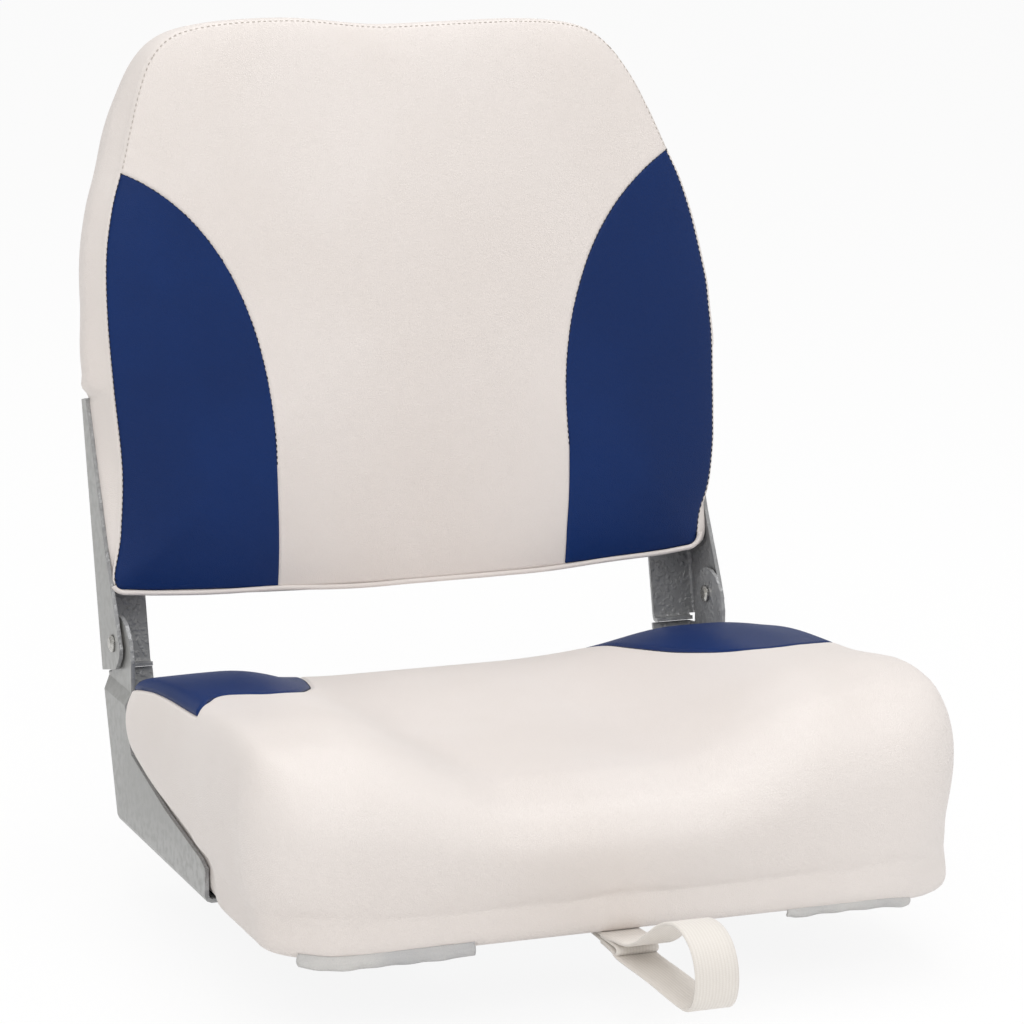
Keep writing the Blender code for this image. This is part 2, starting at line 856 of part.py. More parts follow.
pan_inset = bottom_corner_inset + skin_depth
recess_inset = pan_hem_width + fit_gap * 3
pan_rings = [
    seat_ring(lambda p, n: (pan_top, band_offset(p, n) - skin_depth)),
    seat_ring(lambda p, n: (corner_top, band_offset(p, n) - skin_depth)),
    seat_ring(lambda p, n: (pan_underside, band_offset(p, n) - pan_inset)),
    seat_ring(lambda p, n: (pan_underside, band_offset(p, n) - recess_inset)),
    seat_ring(lambda p, n: (hem_bottom, band_offset(p, n) - recess_inset)),
    pad_ring(hem_bottom),
    pad_ring(0),
]
pan_bm = lofted(pan_rings, Vector((0, seat_centre_y, pan_top)), Vector((0, -hinge_back, 0)))
seat_pan = piece("seat_pan", pan_bm, black_board, seat_frame)
cut(seat_pan, pan_bolt_holes)


# Seat cover, with a blue panel let into each rear corner
insert_seam_shares = ((0.47, 0.02), (0.47, -0.11), (0.485, -0.17), (0.52, -0.215), (0.60, -0.255),
                      (0.68, -0.285), (0.76, -0.31), (0.87, -0.36), (0.94, -0.43), (0.985, -0.56))
insert_rear_inset = 0.006
insert_floor = rear_seam_height * 0.93
insert_ceiling = bolster_height * 1.3


def seat_insert_polygon(side, shrink):
    seam = [Vector((seam_half_width * x, seat_front_seam * y)) for x, y in insert_seam_shares]
    seam[0].y = seat_rear - insert_rear_inset
    tip = seam[-1].y
    count = len(seat_outline)
    edge = []
    for i in range(count):
        p, n = seat_outline[i], seat_normals[i]
        if p.x > seam[0].x * 1.05 and p.y > tip:
            q = p - n * insert_seam_inset
            q.y -= insert_rear_inset * blend(p.y, -ear_front, 0)
            edge.append(Vector((q.x, min(q.y, seat_rear - insert_rear_inset))))
    edge.sort(key=lambda q: math.atan2(q.y - tip, q.x - seam[0].x))
    polygon = offset_polygon(seam + edge, -shrink)
    return [Vector((side * p.x, p.y)) for p in polygon]


def skin_piece(name, rings, pole, outward, material, parent):
    bm, rows = open_skin(rings, pole, outward)
    item = piece(name, bm, material, parent, closed=False)
    thicken(item, skin_thickness)
    return item


up = Vector((0, 0, 1))
seat_cover = skin_piece("seat_cover", crown_rings + hem_rings, seat_pole, up, white_vinyl, seat_frame)
for side, label in ((-1, "left"), (1, "right")):
    opening = slab(seat_insert_polygon(side, 0), insert_floor, insert_ceiling, True)
    opening = cutter(label + "_seat_insert_opening", opening, seat_frame)
    cut(seat_cover, opening)
    fill = slab(seat_insert_polygon(side, fit_gap), insert_floor, insert_ceiling, True)
    fill = cutter(label + "_seat_insert_outline", fill, seat_frame)
    insert = skin_piece(
        "seat_insert_" + label, crown_rings + hem_rings, seat_pole, up, blue_vinyl, seat_frame
    )
    cut(insert, fill, "INTERSECT")


# Back cushion: a sock over a board, drawn in at the seams, in the leaning frame
back_rear = back_plane - sheet_thickness - fit_gap
back_side_clearance = 0.0008
back_corner_radius = 0.012
bottom_dip = 0.0075
back_side_shares = ((0.05, 1), (0.11, 0.988), (0.22, 0.973), (0.37, 0.985), (0.49, 0.992), (0.60, 0.985),
                    (0.69, 0.955), (0.76, 0.915), (0.83, 0.88), (0.89, 0.845), (0.945, 0.79), (0.98, 0.71),
                    (0.997, 0.58))
back_top_share = 0.992
back_ring_shares = (0.38, 0.64, 0.82, 0.94, 1)


def bottom_edge(x):
    return back_bottom - bottom_dip * (1 - (x / back_half_width) ** 2)


def back_front(z):
    depth = back_bottom_depth + (back_top_depth - back_bottom_depth) * (z - back_bottom) / back_height
    return back_rear - depth


back_flat = back_half_width - back_corner_radius
back_half = [Vector((back_flat * share, bottom_edge(back_flat * share))) for share in (0.3, 0.6, 0.9)]
back_half += arc(back_flat, back_bottom + back_corner_radius, back_corner_radius, (-60, -30, 0))
back_half += [Vector((back_half_width * x, back_bottom + back_height * z)) for z, x in back_side_shares]
back_half.append(Vector((back_half_width * 0.28, back_bottom + back_height)))
back_outline = mirrored_outline(
    Vector((0, bottom_edge(0))), back_half, Vector((0, back_bottom + back_height * back_top_share))
)
back_normals = outline_normals(back_outline)
back_middle = back_bottom + back_height * 0.5


def back_ring(depth_share, offset, depth=None):
    ring = []
    for p, n in zip(back_outline, back_normals):
        front = back_front(p.y)
        y = front + (back_rear - front) * depth_share if depth is None else depth
        ring.append(Vector((p.x + n.x * offset, y, p.y + n.y * offset)))
    return ring


def front_ring(share):
    ring = []
    for p in back_outline:
        x, z = p.x * share, back_middle + (p.y - back_middle) * share
        ring.append(Vector((x, back_front(z) - back_crown * (1 - share ** 2.2), z)))
    return ring


def rear_ring(share, depth):
    return [Vector((p.x * share, depth, back_middle + (p.y - back_middle) * share)) for p in back_outline]


back_pole = Vector((0, back_front(back_middle) - back_crown, back_middle))
boxing_bulge = back_side_room - sheet_thickness - back_side_clearance
front_rings = [front_ring(share) for share in back_ring_shares]
boxing_rings = [back_ring(0.2, boxing_bulge * 0.75), back_ring(0.55, boxing_bulge)]
rear_rings = [back_ring(0.85, boxing_bulge * 0.5), back_ring(1, 0), rear_ring(0.85, back_rear)]
rear_pole = Vector((0, back_rear, back_middle))

board_front = back_rear - skin_depth - board_thickness
all_back_rings = front_rings + boxing_rings + rear_rings
padded_rings, padded_pole = inset(all_back_rings, back_pole, skin_depth)
padded_rings = padded_rings[:len(front_rings) + len(boxing_rings)]
padded_rings.append(back_ring(0, -skin_depth, board_front - fit_gap))
foam_back_pole = Vector((0, board_front - fit_gap, back_middle))
piece("back_foam", lofted(padded_rings, padded_pole, foam_back_pole), foam_pad, back_axis)

board_rings = [
    back_ring(0, -skin_depth - fit_gap, board_front),
    back_ring(0, -skin_depth - fit_gap, board_front + board_thickness),
]
board_bm = lofted(
    board_rings, Vector((0, board_front, back_middle)), Vector((0, board_front + board_thickness, back_middle))
)
back_board = piece("back_board", board_bm, black_board, back_axis)

# The sock is open along the bottom, where a plain strip closes it
strip_half_width = back_half_width * 0.8
toward_front = Vector((0, -1, 0))


def back_skin(name, material, keep_strip):
    bm, rows = open_skin(all_back_rings, back_pole, toward_front)
    centre = bm.verts.new(rear_pole)
    last = rows[-1]
    rear_faces = [bm.faces.new((last[i], last[(i + 1) % len(last)], centre)) for i in range(len(last))]
    bm.normal_update()
    if centre.normal.dot(toward_front) > 0:
        bmesh.ops.reverse_faces(bm, faces=rear_faces)
    first, final = len(front_rings), len(front_rings) + len(boxing_rings)
    strip_rows = rows[first:final + 1]
    low = {v for row in strip_rows for v in row if v.co.z < back_bottom and abs(v.co.x) < strip_half_width}
    strip = [f for f in bm.faces if all(v in low for v in f.verts)]
    unwanted = [f for f in bm.faces if f not in strip] if keep_strip else strip
    bmesh.ops.delete(bm, geom=unwanted, context="FACES")
    if keep_strip:
        shrink_strip(bm)
    item = piece(name, bm, material, back_axis, closed=False)
    thicken(item, skin_thickness)
    return item


def shrink_strip(bm):
    for axis in (0, 1):
        low = min(v.co[axis] for v in bm.verts)
        high = max(v.co[axis] for v in bm.verts)
        centre = (low + high) / 2
        factor = 1 - 4 * fit_gap / (high - low)
        for v in bm.verts:
            v.co[axis] = centre + (v.co[axis] - centre) * factor


back_cover = back_skin("back_cover", white_vinyl, False)
back_skin("back_bottom_strip", grey_strip, True)

# Blue side panels of the back
insert_lift = 0.0035
seam_curve_shares = ((0.4975, 0.205), (0.4975, 0.453), (0.631, 0.658), (0.93, 0.752))


def curve_point(t):
    corners = [Vector((back_half_width * x, back_bottom + back_height * z)) for x, z in seam_curve_shares]
    a, b, c, d = corners
    u = 1 - t
    return a * (u * u * u) + b * (3 * u * u * t) + c * (3 * u * t * t) + d * (t * t * t)


def back_insert_polygon(side, shrink):
    seam = [curve_point(step / 8) for step in range(9)]
    start = Vector((seam[0].x, bottom_edge(seam[0].x) + insert_seam_inset))
    tip = seam[-1]
    edge = []
    for p, n in zip(back_outline, back_normals):
        if p.x > start.x * 1.08 and p.y < tip.y:
            edge.append(p - n * insert_seam_inset)
    edge.sort(key=lambda q: -math.atan2(q.y - back_bottom, q.x - start.x))
    polygon = offset_polygon([start] + seam + edge, -shrink)
    return [Vector((side * p.x, p.y)) for p in polygon]


insert_reach = back_crown * 6
for side, label in ((-1, "left"), (1, "right")):
    behind = lambda p: back_front(p.y) + insert_lift
    ahead = lambda p: back_front(p.y) - insert_reach
    opening = cutter(
        label + "_back_insert_opening", slab(back_insert_polygon(side, 0), ahead, behind, False), back_axis
    )
    cut(back_cover, opening)
    fill = cutter(
        label + "_back_insert_outline", slab(back_insert_polygon(side, fit_gap), ahead, behind, False), back_axis
    )
    insert = back_skin("back_insert_" + label, blue_vinyl, False)
    cut(insert, fill, "INTERSECT")

# Piping along the front of the bottom edge, turned up at the corners
piping_sides = 8
piping_turn_share = 0.11


def tube(points, radius, sides):
    rings = []
    for i, p in enumerate(points):
        run = (points[min(i + 1, len(points) - 1)] - points[max(i - 1, 0)]).normalized()
        across_way = run.cross(Vector((0, 1, 0))).normalized()
        up_way = run.cross(across_way)
        rings.append([
            p + (across_way * math.cos(a) + up_way * math.sin(a)) * radius
            for a in [2 * math.pi * k / sides for k in range(sides)]
        ])
    return lofted(rings)


seam_bm, seam_rows = open_skin(all_back_rings, back_pole, toward_front)
seam_bm.normal_update()
route = [
    v.co + v.normal * (piping_radius + fit_gap)
    for v in seam_rows[len(front_rings) - 1]
    if v.co.z < back_bottom + back_height * piping_turn_share
]
seam_bm.free()
route.sort(key=lambda p: math.atan2(p.x, back_middle - p.z))
piece("back_piping", tube(route, piping_radius, piping_sides), white_vinyl, back_axis)


# Screws: three through each rear flange into the board, three through each foot into the pan
screw_profile = (
    (screw_head_radius * 0.5, -screw_head_thickness),
    (screw_head_radius, -screw_head_thickness * 0.35),
    (screw_head_radius, -fit_gap),
    (screw_radius, -fit_gap),
    (screw_radius, screw_length),
)
screw_hole = screw_radius + screw_clearance
for side, label in ((-1, "left"), (1, "right")):
    places = [(side * back_screw_x, z) for z in back_screw_z]
    back_holes = lengthwise(
        label + "_back_screw_holes", places, screw_hole, back_plane - screw_length - fit_gap * 2,
        back_plane + cut_overrun, "Y", back_axis
    )
    for item in (bpy.data.objects[label + "_back_bracket"], back_cover, back_board):
        cut(item, back_holes)
    pan_holes = lengthwise(
        label + "_pan_screw_holes",
        [(side * foot_screw_x, y) for y in foot_screw_y],
        screw_hole,
        -cut_overrun,
        screw_length + fit_gap * 2,
        "Z",
        seat_frame,
    )
    cut(seat_pan, pan_holes)
    for number in range(3):
        into_back = (math.pi / 2, 0, 0)
        place = (side * back_screw_x, back_plane, back_screw_z[number])
        screw = turned(screw_profile, 10)
        piece("%s_back_screw_%d" % (label, number + 1), screw, nickel, back_axis, place, into_back)
        place = (side * foot_screw_x, foot_screw_y[number], 0)
        screw = turned(screw_profile, 10)
        piece("%s_foot_screw_%d" % (label, number + 1), screw, nickel, seat_frame, place)


# Strap: webbing doubled under the front edge and standing out as a loop
strap_stack = strap_thickness * 2 + strap_layer_gap
strap_level = hem_bottom - fit_gap - strap_stack / 2
strap_left = strap_offset - strap_width / 2
strap_right = strap_offset + strap_width / 2
strap_axis = empty("strap_axis", seat_frame, (strap_offset, -strap_hinge, strap_level))
layer_share = (strap_thickness + strap_layer_gap) / strap_rise / 2
loop_shares = ((0, -layer_share), (0.12, -layer_share), (0.23, -layer_share), (0.36, -0.045), (0.55, -0.08),
               (0.74, -0.105), (0.88, -0.09), (0.965, 0.03), (0.99, 0.26), (0.97, 0.62), (0.90, 0.90),
               (0.79, 0.97), (0.66, 0.84), (0.53, 0.6), (0.42, 0.36), (0.33, 0.17), (0.27, 0.075),
               (0.2, layer_share), (0.1, layer_share), (0, layer_share))
loop_steps = 2


def smooth_route(points, steps):
    route = []
    for i in range(len(points) - 1):
        a = points[max(i - 1, 0)]
        b, c = points[i], points[i + 1]
        d = points[min(i + 2, len(points) - 1)]
        for step in range(steps):
            t = step / steps
            route.append(0.5 * (2 * b + (c - a) * t + (2 * a - 5 * b + 4 * c - d) * t * t
                                + (3 * b - a - 3 * c + d) * t ** 3))
    route.append(points[-1])
    return route


route = smooth_route([Vector((-strap_reach * a, strap_rise * b)) for a, b in loop_shares], loop_steps)
sections = []
for i, p in enumerate(route):
    run = (route[min(i + 1, len(route) - 1)] - route[max(i - 1, 0)]).normalized()
    lift = Vector((-run.y, run.x)) * (strap_thickness / 2)
    low, high = p - lift, p + lift
    half = strap_width / 2
    sections.append([
        Vector((-half, low.x, low.y)),
        Vector((half, low.x, low.y)),
        Vector((half, high.x, high.y)),
        Vector((-half, high.x, high.y)),
    ])
piece("strap_loop", lofted(sections), webbing, strap_axis)

tail_front = -strap_hinge + strap_hinge_gap
tail_back = tail_front + strap_tail
strap_screw_y = -strap_hinge + strap_screw_back
tail_top = hem_bottom - fit_gap
tail_base = [Vector((strap_left, tail_front)), Vector((strap_right, tail_front)),
             Vector((strap_right, tail_back)), Vector((strap_left, tail_back))]
strap_tail_piece = piece("strap_tail", slab(tail_base, tail_top - strap_stack, tail_top, True), webbing, seat_frame)
strap_screw_top = pan_top * 0.8
strap_hole = lengthwise(
    "strap_screw_hole", [(strap_offset, strap_screw_y)], screw_hole,
    tail_top - strap_stack - cut_overrun, strap_screw_top + fit_gap * 2, "Z", seat_frame
)
cut(strap_tail_piece, strap_hole)
cut(seat_pan, strap_hole, solver="MANIFOLD")
washer_top = tail_top - strap_stack - fit_gap
strap_washer_profile = (
    (strap_washer_radius, washer_top - strap_washer_thickness),
    (strap_washer_radius, washer_top),
    (screw_hole, washer_top),
    (screw_hole, washer_top - strap_washer_thickness),
)
strap_place = (strap_offset, strap_screw_y, 0)
piece("strap_washer", turned_ring(strap_washer_profile, 16), zinc, seat_frame, strap_place)
head_top = washer_top - strap_washer_thickness - fit_gap
strap_screw_profile = (
    (screw_head_radius * 0.5, head_top - screw_head_thickness),
    (screw_head_radius, head_top - screw_head_thickness * 0.35),
    (screw_head_radius, head_top),
    (screw_radius, head_top),
    (screw_radius, strap_screw_top),
)
piece("strap_screw", turned(strap_screw_profile, 10), zinc, seat_frame, strap_place)
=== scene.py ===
# Folding boat seat on a flat swivel: the looks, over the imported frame
import math
import bpy
import bmesh
from mathutils import Matrix, Vector, noise
from mathutils.bvhtree import BVHTree
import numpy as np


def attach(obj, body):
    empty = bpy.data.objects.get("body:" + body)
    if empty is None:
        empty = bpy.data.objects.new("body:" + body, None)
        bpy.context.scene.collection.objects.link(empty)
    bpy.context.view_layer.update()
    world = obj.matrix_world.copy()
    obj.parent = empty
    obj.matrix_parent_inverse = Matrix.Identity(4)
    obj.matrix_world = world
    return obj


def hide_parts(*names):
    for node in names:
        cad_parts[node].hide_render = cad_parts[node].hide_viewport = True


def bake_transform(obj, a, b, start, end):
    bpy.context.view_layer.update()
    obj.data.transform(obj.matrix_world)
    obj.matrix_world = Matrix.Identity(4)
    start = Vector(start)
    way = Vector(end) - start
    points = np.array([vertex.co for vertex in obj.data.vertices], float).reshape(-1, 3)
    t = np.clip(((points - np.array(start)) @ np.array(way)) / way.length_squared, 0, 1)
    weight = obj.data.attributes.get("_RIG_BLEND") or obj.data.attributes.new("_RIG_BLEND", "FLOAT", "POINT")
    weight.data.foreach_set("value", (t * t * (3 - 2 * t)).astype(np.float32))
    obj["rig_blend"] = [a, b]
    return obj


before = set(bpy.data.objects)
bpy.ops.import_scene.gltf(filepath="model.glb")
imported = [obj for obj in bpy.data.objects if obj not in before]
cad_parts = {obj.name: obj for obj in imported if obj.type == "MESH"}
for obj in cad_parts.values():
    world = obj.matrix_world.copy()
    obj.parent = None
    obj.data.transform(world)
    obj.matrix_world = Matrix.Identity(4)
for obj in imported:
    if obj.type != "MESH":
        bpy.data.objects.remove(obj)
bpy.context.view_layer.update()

seatOrigin = Vector((0, 0.158, 0.0203))    # the hinge line, at the underside of the pan
hingeHeight = 0.113
backLean = math.radians(13.5)


def seatToWorld(point):
    return seatOrigin + point


def backToWorld(point):    # from the leaning frame of the backrest
    y = point.y * math.cos(backLean) + point.z * math.sin(backLean)
    z = -point.y * math.sin(backLean) + point.z * math.cos(backLean)
    return seatOrigin + Vector((point.x, y, hingeHeight + z))


def newObject(name, data):
    item = bpy.data.objects.new(name, data)
    bpy.context.collection.objects.link(item)
    return item


print("camera and light")
cameraSet = {
    "yaw": 0.3680715, "pitch": 0.2179419, "roll": 0.00571,
    "aside": 0.053847, "up": 0.160005, "away": 2.75133,
    "lens": 149.69, "shiftX": 0.00686, "shiftY": 0.02717,
}


def makeCamera(s):
    yaw, pitch, roll = s["yaw"], s["pitch"], s["roll"]
    ahead = Vector((math.sin(yaw) * math.cos(pitch), math.cos(yaw) * math.cos(pitch), -math.sin(pitch)))
    flatRight = Vector((math.cos(yaw), -math.sin(yaw), 0))
    flatUp = flatRight.cross(ahead)
    right = flatRight * math.cos(roll) + flatUp * math.sin(roll)
    up = flatUp * math.cos(roll) - flatRight * math.sin(roll)
    data = bpy.data.cameras.new("camera")
    data.sensor_width = 36
    data.lens = s["lens"]
    data.shift_x = s["shiftX"]
    data.shift_y = s["shiftY"]
    camera = newObject("camera", data)
    place = seatToWorld(right * s["aside"] + up * s["up"] - ahead * s["away"])
    camera.matrix_world = Matrix.Translation(place) @ Matrix((right, up, -ahead)).transposed().to_4x4()
    bpy.context.scene.camera = camera


makeCamera(cameraSet)
bpy.context.scene.view_settings.view_transform = "Standard"

lampSet = {
    "key": {"place": (-1.1, -2.4, 2.5), "size": 2.2, "power": 31, "tint": (1, 0.985, 0.965)},
    "fill": {"place": (2.4, -1.8, 1.3), "size": 2.4, "power": 5, "tint": (0.97, 0.985, 1)},
    "rim": {"place": (0.2, 0.3, 2.7), "size": 1.8, "power": 27, "tint": (1, 1, 1)},
    "skyStrength": 0.64,
    "floorLevel": -0.026,
    "shadowShare": 0.10,
}


def makeLamp(name, s):
    data = bpy.data.lights.new(name, "AREA")
    data.shape = "DISK"
    data.size = s["size"]
    data.energy = s["power"]
    data.color = s["tint"]
    lamp = newObject(name, data)
    place = Vector(s["place"])
    aim = (Vector((0, 0.05, 0.22)) - place).to_track_quat("-Z", "Y")
    lamp.matrix_world = Matrix.Translation(place) @ aim.to_matrix().to_4x4()


for lampName in ("key", "fill", "rim"):
    makeLamp(lampName, lampSet[lampName])


# Node helpers
def addNode(tree, kind, settings=(), **values):
    made = tree.nodes.new(kind)
    for name, value in dict(settings).items():
        setattr(made, name, value)
    feedAll(tree, made, values)
    return made


def feed(tree, socket, value):
    if isinstance(value, bpy.types.NodeSocket):
        tree.links.new(value, socket)
    else:
        socket.default_value = value


def feedAll(tree, made, values):
    for name, value in values.items():
        feed(tree, made.inputs[name.replace("_", " ")], value)


def worked(tree, kind, settings, sockets, output=0):    # a new node's output, from its inputs by name or place
    made = addNode(tree, kind, settings)
    for socket, value in sockets.items():
        feed(tree, made.inputs[socket], value)
    return made.outputs[output]


def maths(tree, operation, a, b=0.0, clamp=False):
    return worked(tree, "ShaderNodeMath", {"operation": operation, "use_clamp": clamp}, {0: a, 1: b})


def times(tree, a, b):
    return maths(tree, "MULTIPLY", a, b)


def plus(tree, a, b, clamp=False):
    return maths(tree, "ADD", a, b, clamp)


def minus(tree, a, b):
    return maths(tree, "SUBTRACT", a, b)


def spread(tree, value, low, high, toLow=0.0, toHigh=1.0, smooth=True):
    return worked(tree, "ShaderNodeMapRange", {"interpolation_type": "SMOOTHSTEP" if smooth else "LINEAR"},
                  {"Value": value, "From Min": low, "From Max": high, "To Min": toLow, "To Max": toHigh}, "Result")


def mixColor(tree, share, a, b):
    return worked(tree, "ShaderNodeMix", {"data_type": "RGBA"}, {0: share, 6: a, 7: b}, 2)


def mixNumber(tree, share, a, b):
    return worked(tree, "ShaderNodeMix", {}, {0: share, 2: a, 3: b})


def mixShader(tree, share, a, b):
    return worked(tree, "ShaderNodeMixShader", {}, {0: share, 1: a, 2: b})


def objectPlace(tree):
    return addNode(tree, "ShaderNodeTexCoord").outputs["Object"]


def noiseFac(tree, place, scale, detail, **more):
    return addNode(tree, "ShaderNodeTexNoise", Vector=place, Scale=scale, Detail=detail, **more).outputs["Fac"]


def warped(tree, place, scale, amount):    # the place, pushed about by noise
    push = addNode(tree, "ShaderNodeTexNoise", Vector=place, Scale=scale, Detail=2.0)
    return worked(tree, "ShaderNodeVectorMath", {"operation": "MULTIPLY_ADD"},
                  {0: push.outputs["Color"], 1: (amount, amount, amount), 2: place})


def seenBy(tree, kinds):    # one for rays of these kinds
    path = addNode(tree, "ShaderNodeLightPath")
    seen = path.outputs[kinds[0]]
    for kind in kinds[1:]:
        seen = maths(tree, "MAXIMUM", seen, path.outputs[kind])
    return seen


def newGroup(name, colors, values, outputs=("Color", "Roughness", "Height")):
    tree = bpy.data.node_groups.new(name, "ShaderNodeTree")
    for labels, side in ((colors + values, "INPUT"), (outputs, "OUTPUT")):
        for label in labels:
            kind = "NodeSocketColor" if label in (*colors, "Color") else "NodeSocketFloat"
            tree.interface.new_socket(name=label, in_out=side, socket_type=kind)
    return tree, tree.nodes.new("NodeGroupInput").outputs, tree.nodes.new("NodeGroupOutput").inputs


def closeGroup(tree, out, *values):    # the values go to the outputs in their order
    for socket, value in zip(out, values):
        feed(tree, socket, value)
    return tree


def fromDisplay(color):    # a display colour, 0 to 255, made linear
    linear = []
    for c in color:
        c /= 255
        linear.append(c / 12.92 if c <= 0.04045 else ((c + 0.055) / 1.055) ** 2.4)
    return (*linear, 1)


print("shared finishes")


def makeGrain():    # calendered vinyl and moulded plastic: pebbles, fine pores and a slow drift of colour
    tree, given, out = newGroup("pebbleGrain", ("Color", "Shade"),
                                ("Scale", "Drift Scale", "Roughness", "Roughness Range"))
    place = objectPlace(tree)
    pebble = addNode(tree, "ShaderNodeTexVoronoi", {"feature": "DISTANCE_TO_EDGE"},
                     Vector=warped(tree, place, 140.0, 0.0009), Scale=given["Scale"])
    crease = spread(tree, pebble.outputs["Distance"], 0.0, 0.16)
    pores = noiseFac(tree, place, times(tree, given["Scale"], 2.6), 3.0)
    cloud = spread(tree, noiseFac(tree, place, given["Drift Scale"], 3.0), 0.34, 0.68)
    share = plus(tree, times(tree, cloud, 0.72), times(tree, crease, 0.28))
    rough = plus(tree, minus(tree, 1.0, times(tree, crease, 0.6)), times(tree, pores, 0.5))
    rough = times(tree, minus(tree, rough, 0.7), given["Roughness Range"])
    return closeGroup(tree, out, mixColor(tree, share, given["Shade"], given["Color"]),
                      plus(tree, given["Roughness"], rough),
                      plus(tree, times(tree, crease, 0.8), times(tree, pores, 0.2)))


def makeHammer():    # hammertone paint: runs and dimples on a second tone
    tree, given, out = newGroup("hammertone", ("Paint", "Dark"), ("Scale", "Contrast", "Roughness"))
    place = objectPlace(tree)
    dimple = addNode(tree, "ShaderNodeTexVoronoi", {"feature": "SMOOTH_F1"},
                     Vector=warped(tree, place, times(tree, given["Scale"], 1.3), 0.0035),
                     Scale=given["Scale"], Smoothness=0.6)
    worm = spread(tree, dimple.outputs["Distance"], 0.18, 0.62)
    speck = noiseFac(tree, place, 1900.0, 2.0)
    tone = times(tree, worm, given["Contrast"])
    tone = plus(tree, tone, times(tree, minus(tree, speck, 0.5), 0.3), True)
    return closeGroup(tree, out, mixColor(tree, tone, given["Paint"], given["Dark"]),
                      plus(tree, given["Roughness"], times(tree, tone, 0.12)), minus(tree, 1.0, worm))


def makeEdgeGleam():    # painted highlight: lighter edges, broken up by noise
    tree, given, out = newGroup("paintedEdgeGleam", (), ("Low", "High", "Patches"), ("Mask",))
    edge = spread(tree, addNode(tree, "ShaderNodeNewGeometry").outputs["Pointiness"], given["Low"], given["High"])
    gleamPatches = noiseFac(tree, objectPlace(tree), given["Patches"], 4.0)
    return closeGroup(tree, out, times(tree, edge, spread(tree, gleamPatches, 0.35, 0.6)))


def makePlating():    # plated metal: drawn lines, bloom and pin specks
    tree, given, out = newGroup("plating", ("Bright", "Dull"), ("Scale", "Roughness"))
    place = objectPlace(tree)
    cloud = spread(tree, noiseFac(tree, place, given["Scale"], 5.0, Roughness=0.7), 0.35, 0.66)
    drawn = noiseFac(tree, place, 2600.0, 1.0)
    rough = times(tree, minus(tree, drawn, cloud), 0.12)
    return closeGroup(tree, out, mixColor(tree, cloud, given["Dull"], given["Bright"]),
                      plus(tree, given["Roughness"], rough), drawn)


def makeWeave():    # webbing: lengthwise ribs with cross picks, on the piece's own UV map in metres
    tree, given, out = newGroup("webbingWeave", ("Thread", "Valley"), ("Ribs", "Picks"))
    place = addNode(tree, "ShaderNodeUVMap", {"uv_map": "lay"}).outputs[0]
    parts = addNode(tree, "ShaderNodeSeparateXYZ", Vector=place)
    turn = 2 * math.pi
    across = times(tree, parts.outputs["X"], given["Ribs"])
    ribs = maths(tree, "COSINE", times(tree, across, turn))
    stagger = times(tree, maths(tree, "ROUND", across), 0.5)
    picks = plus(tree, times(tree, parts.outputs["Y"], given["Picks"]), stagger)
    picks = maths(tree, "COSINE", times(tree, picks, turn))
    rise = plus(tree, plus(tree, times(tree, ribs, 0.34), times(tree, picks, 0.16)), 0.5)
    fuzz = noiseFac(tree, place, 2400.0, 3.0)
    tone = plus(tree, rise, times(tree, minus(tree, fuzz, 0.5), 0.5), True)
    return closeGroup(tree, out, mixColor(tree, tone, given["Valley"], given["Thread"]),
                      spread(tree, tone, 0.0, 1.0, 0.82, 0.62, False), tone)


groups = {
    "grain": makeGrain(), "hammer": makeHammer(), "edgeGleam": makeEdgeGleam(), "plating": makePlating(),
    "weave": makeWeave(),
}


def placeGroup(tree, name, **values):
    values = {label: fromDisplay(value) if isinstance(value, tuple) else value for label, value in values.items()}
    return addNode(tree, "ShaderNodeGroup", {"node_tree": groups[name]}, **values).outputs


def newMaterial(name):
    material = bpy.data.materials.new(name)
    material.use_nodes = True
    return material, material.node_tree


def dressed(tree, color, roughness, height, depth, strength=1.0, edge=0.0, **values):
    bump = addNode(tree, "ShaderNodeBump", Height=height, Distance=depth, Strength=strength)
    if edge:
        feedAll(tree, bump, {"Normal": addNode(tree, "ShaderNodeBevel", {"samples": 4}, Radius=edge).outputs[0]})
    feedAll(tree, tree.nodes["Principled BSDF"],
            {"Base Color": color, "Roughness": roughness, "Normal": bump.outputs[0], **values})


def grainMaterial(name, s):
    material, tree = newMaterial(name)
    s = {**usualGrain, **s}
    grain = placeGroup(tree, "grain", Color=s["color"], Shade=s["shade"], Scale=s["grain"], Drift_Scale=s["drift"],
                       Roughness=s["roughness"], Roughness_Range=s["range"])
    dressed(tree, grain["Color"], grain["Roughness"], grain["Height"], s["depth"], 1.0, s["edge"],
            Sheen_Weight=s["sheen"], Sheen_Roughness=0.5, Coat_Weight=s["coat"], Coat_Roughness=0.35,
            Specular_IOR_Level=s["shine"])
    return material


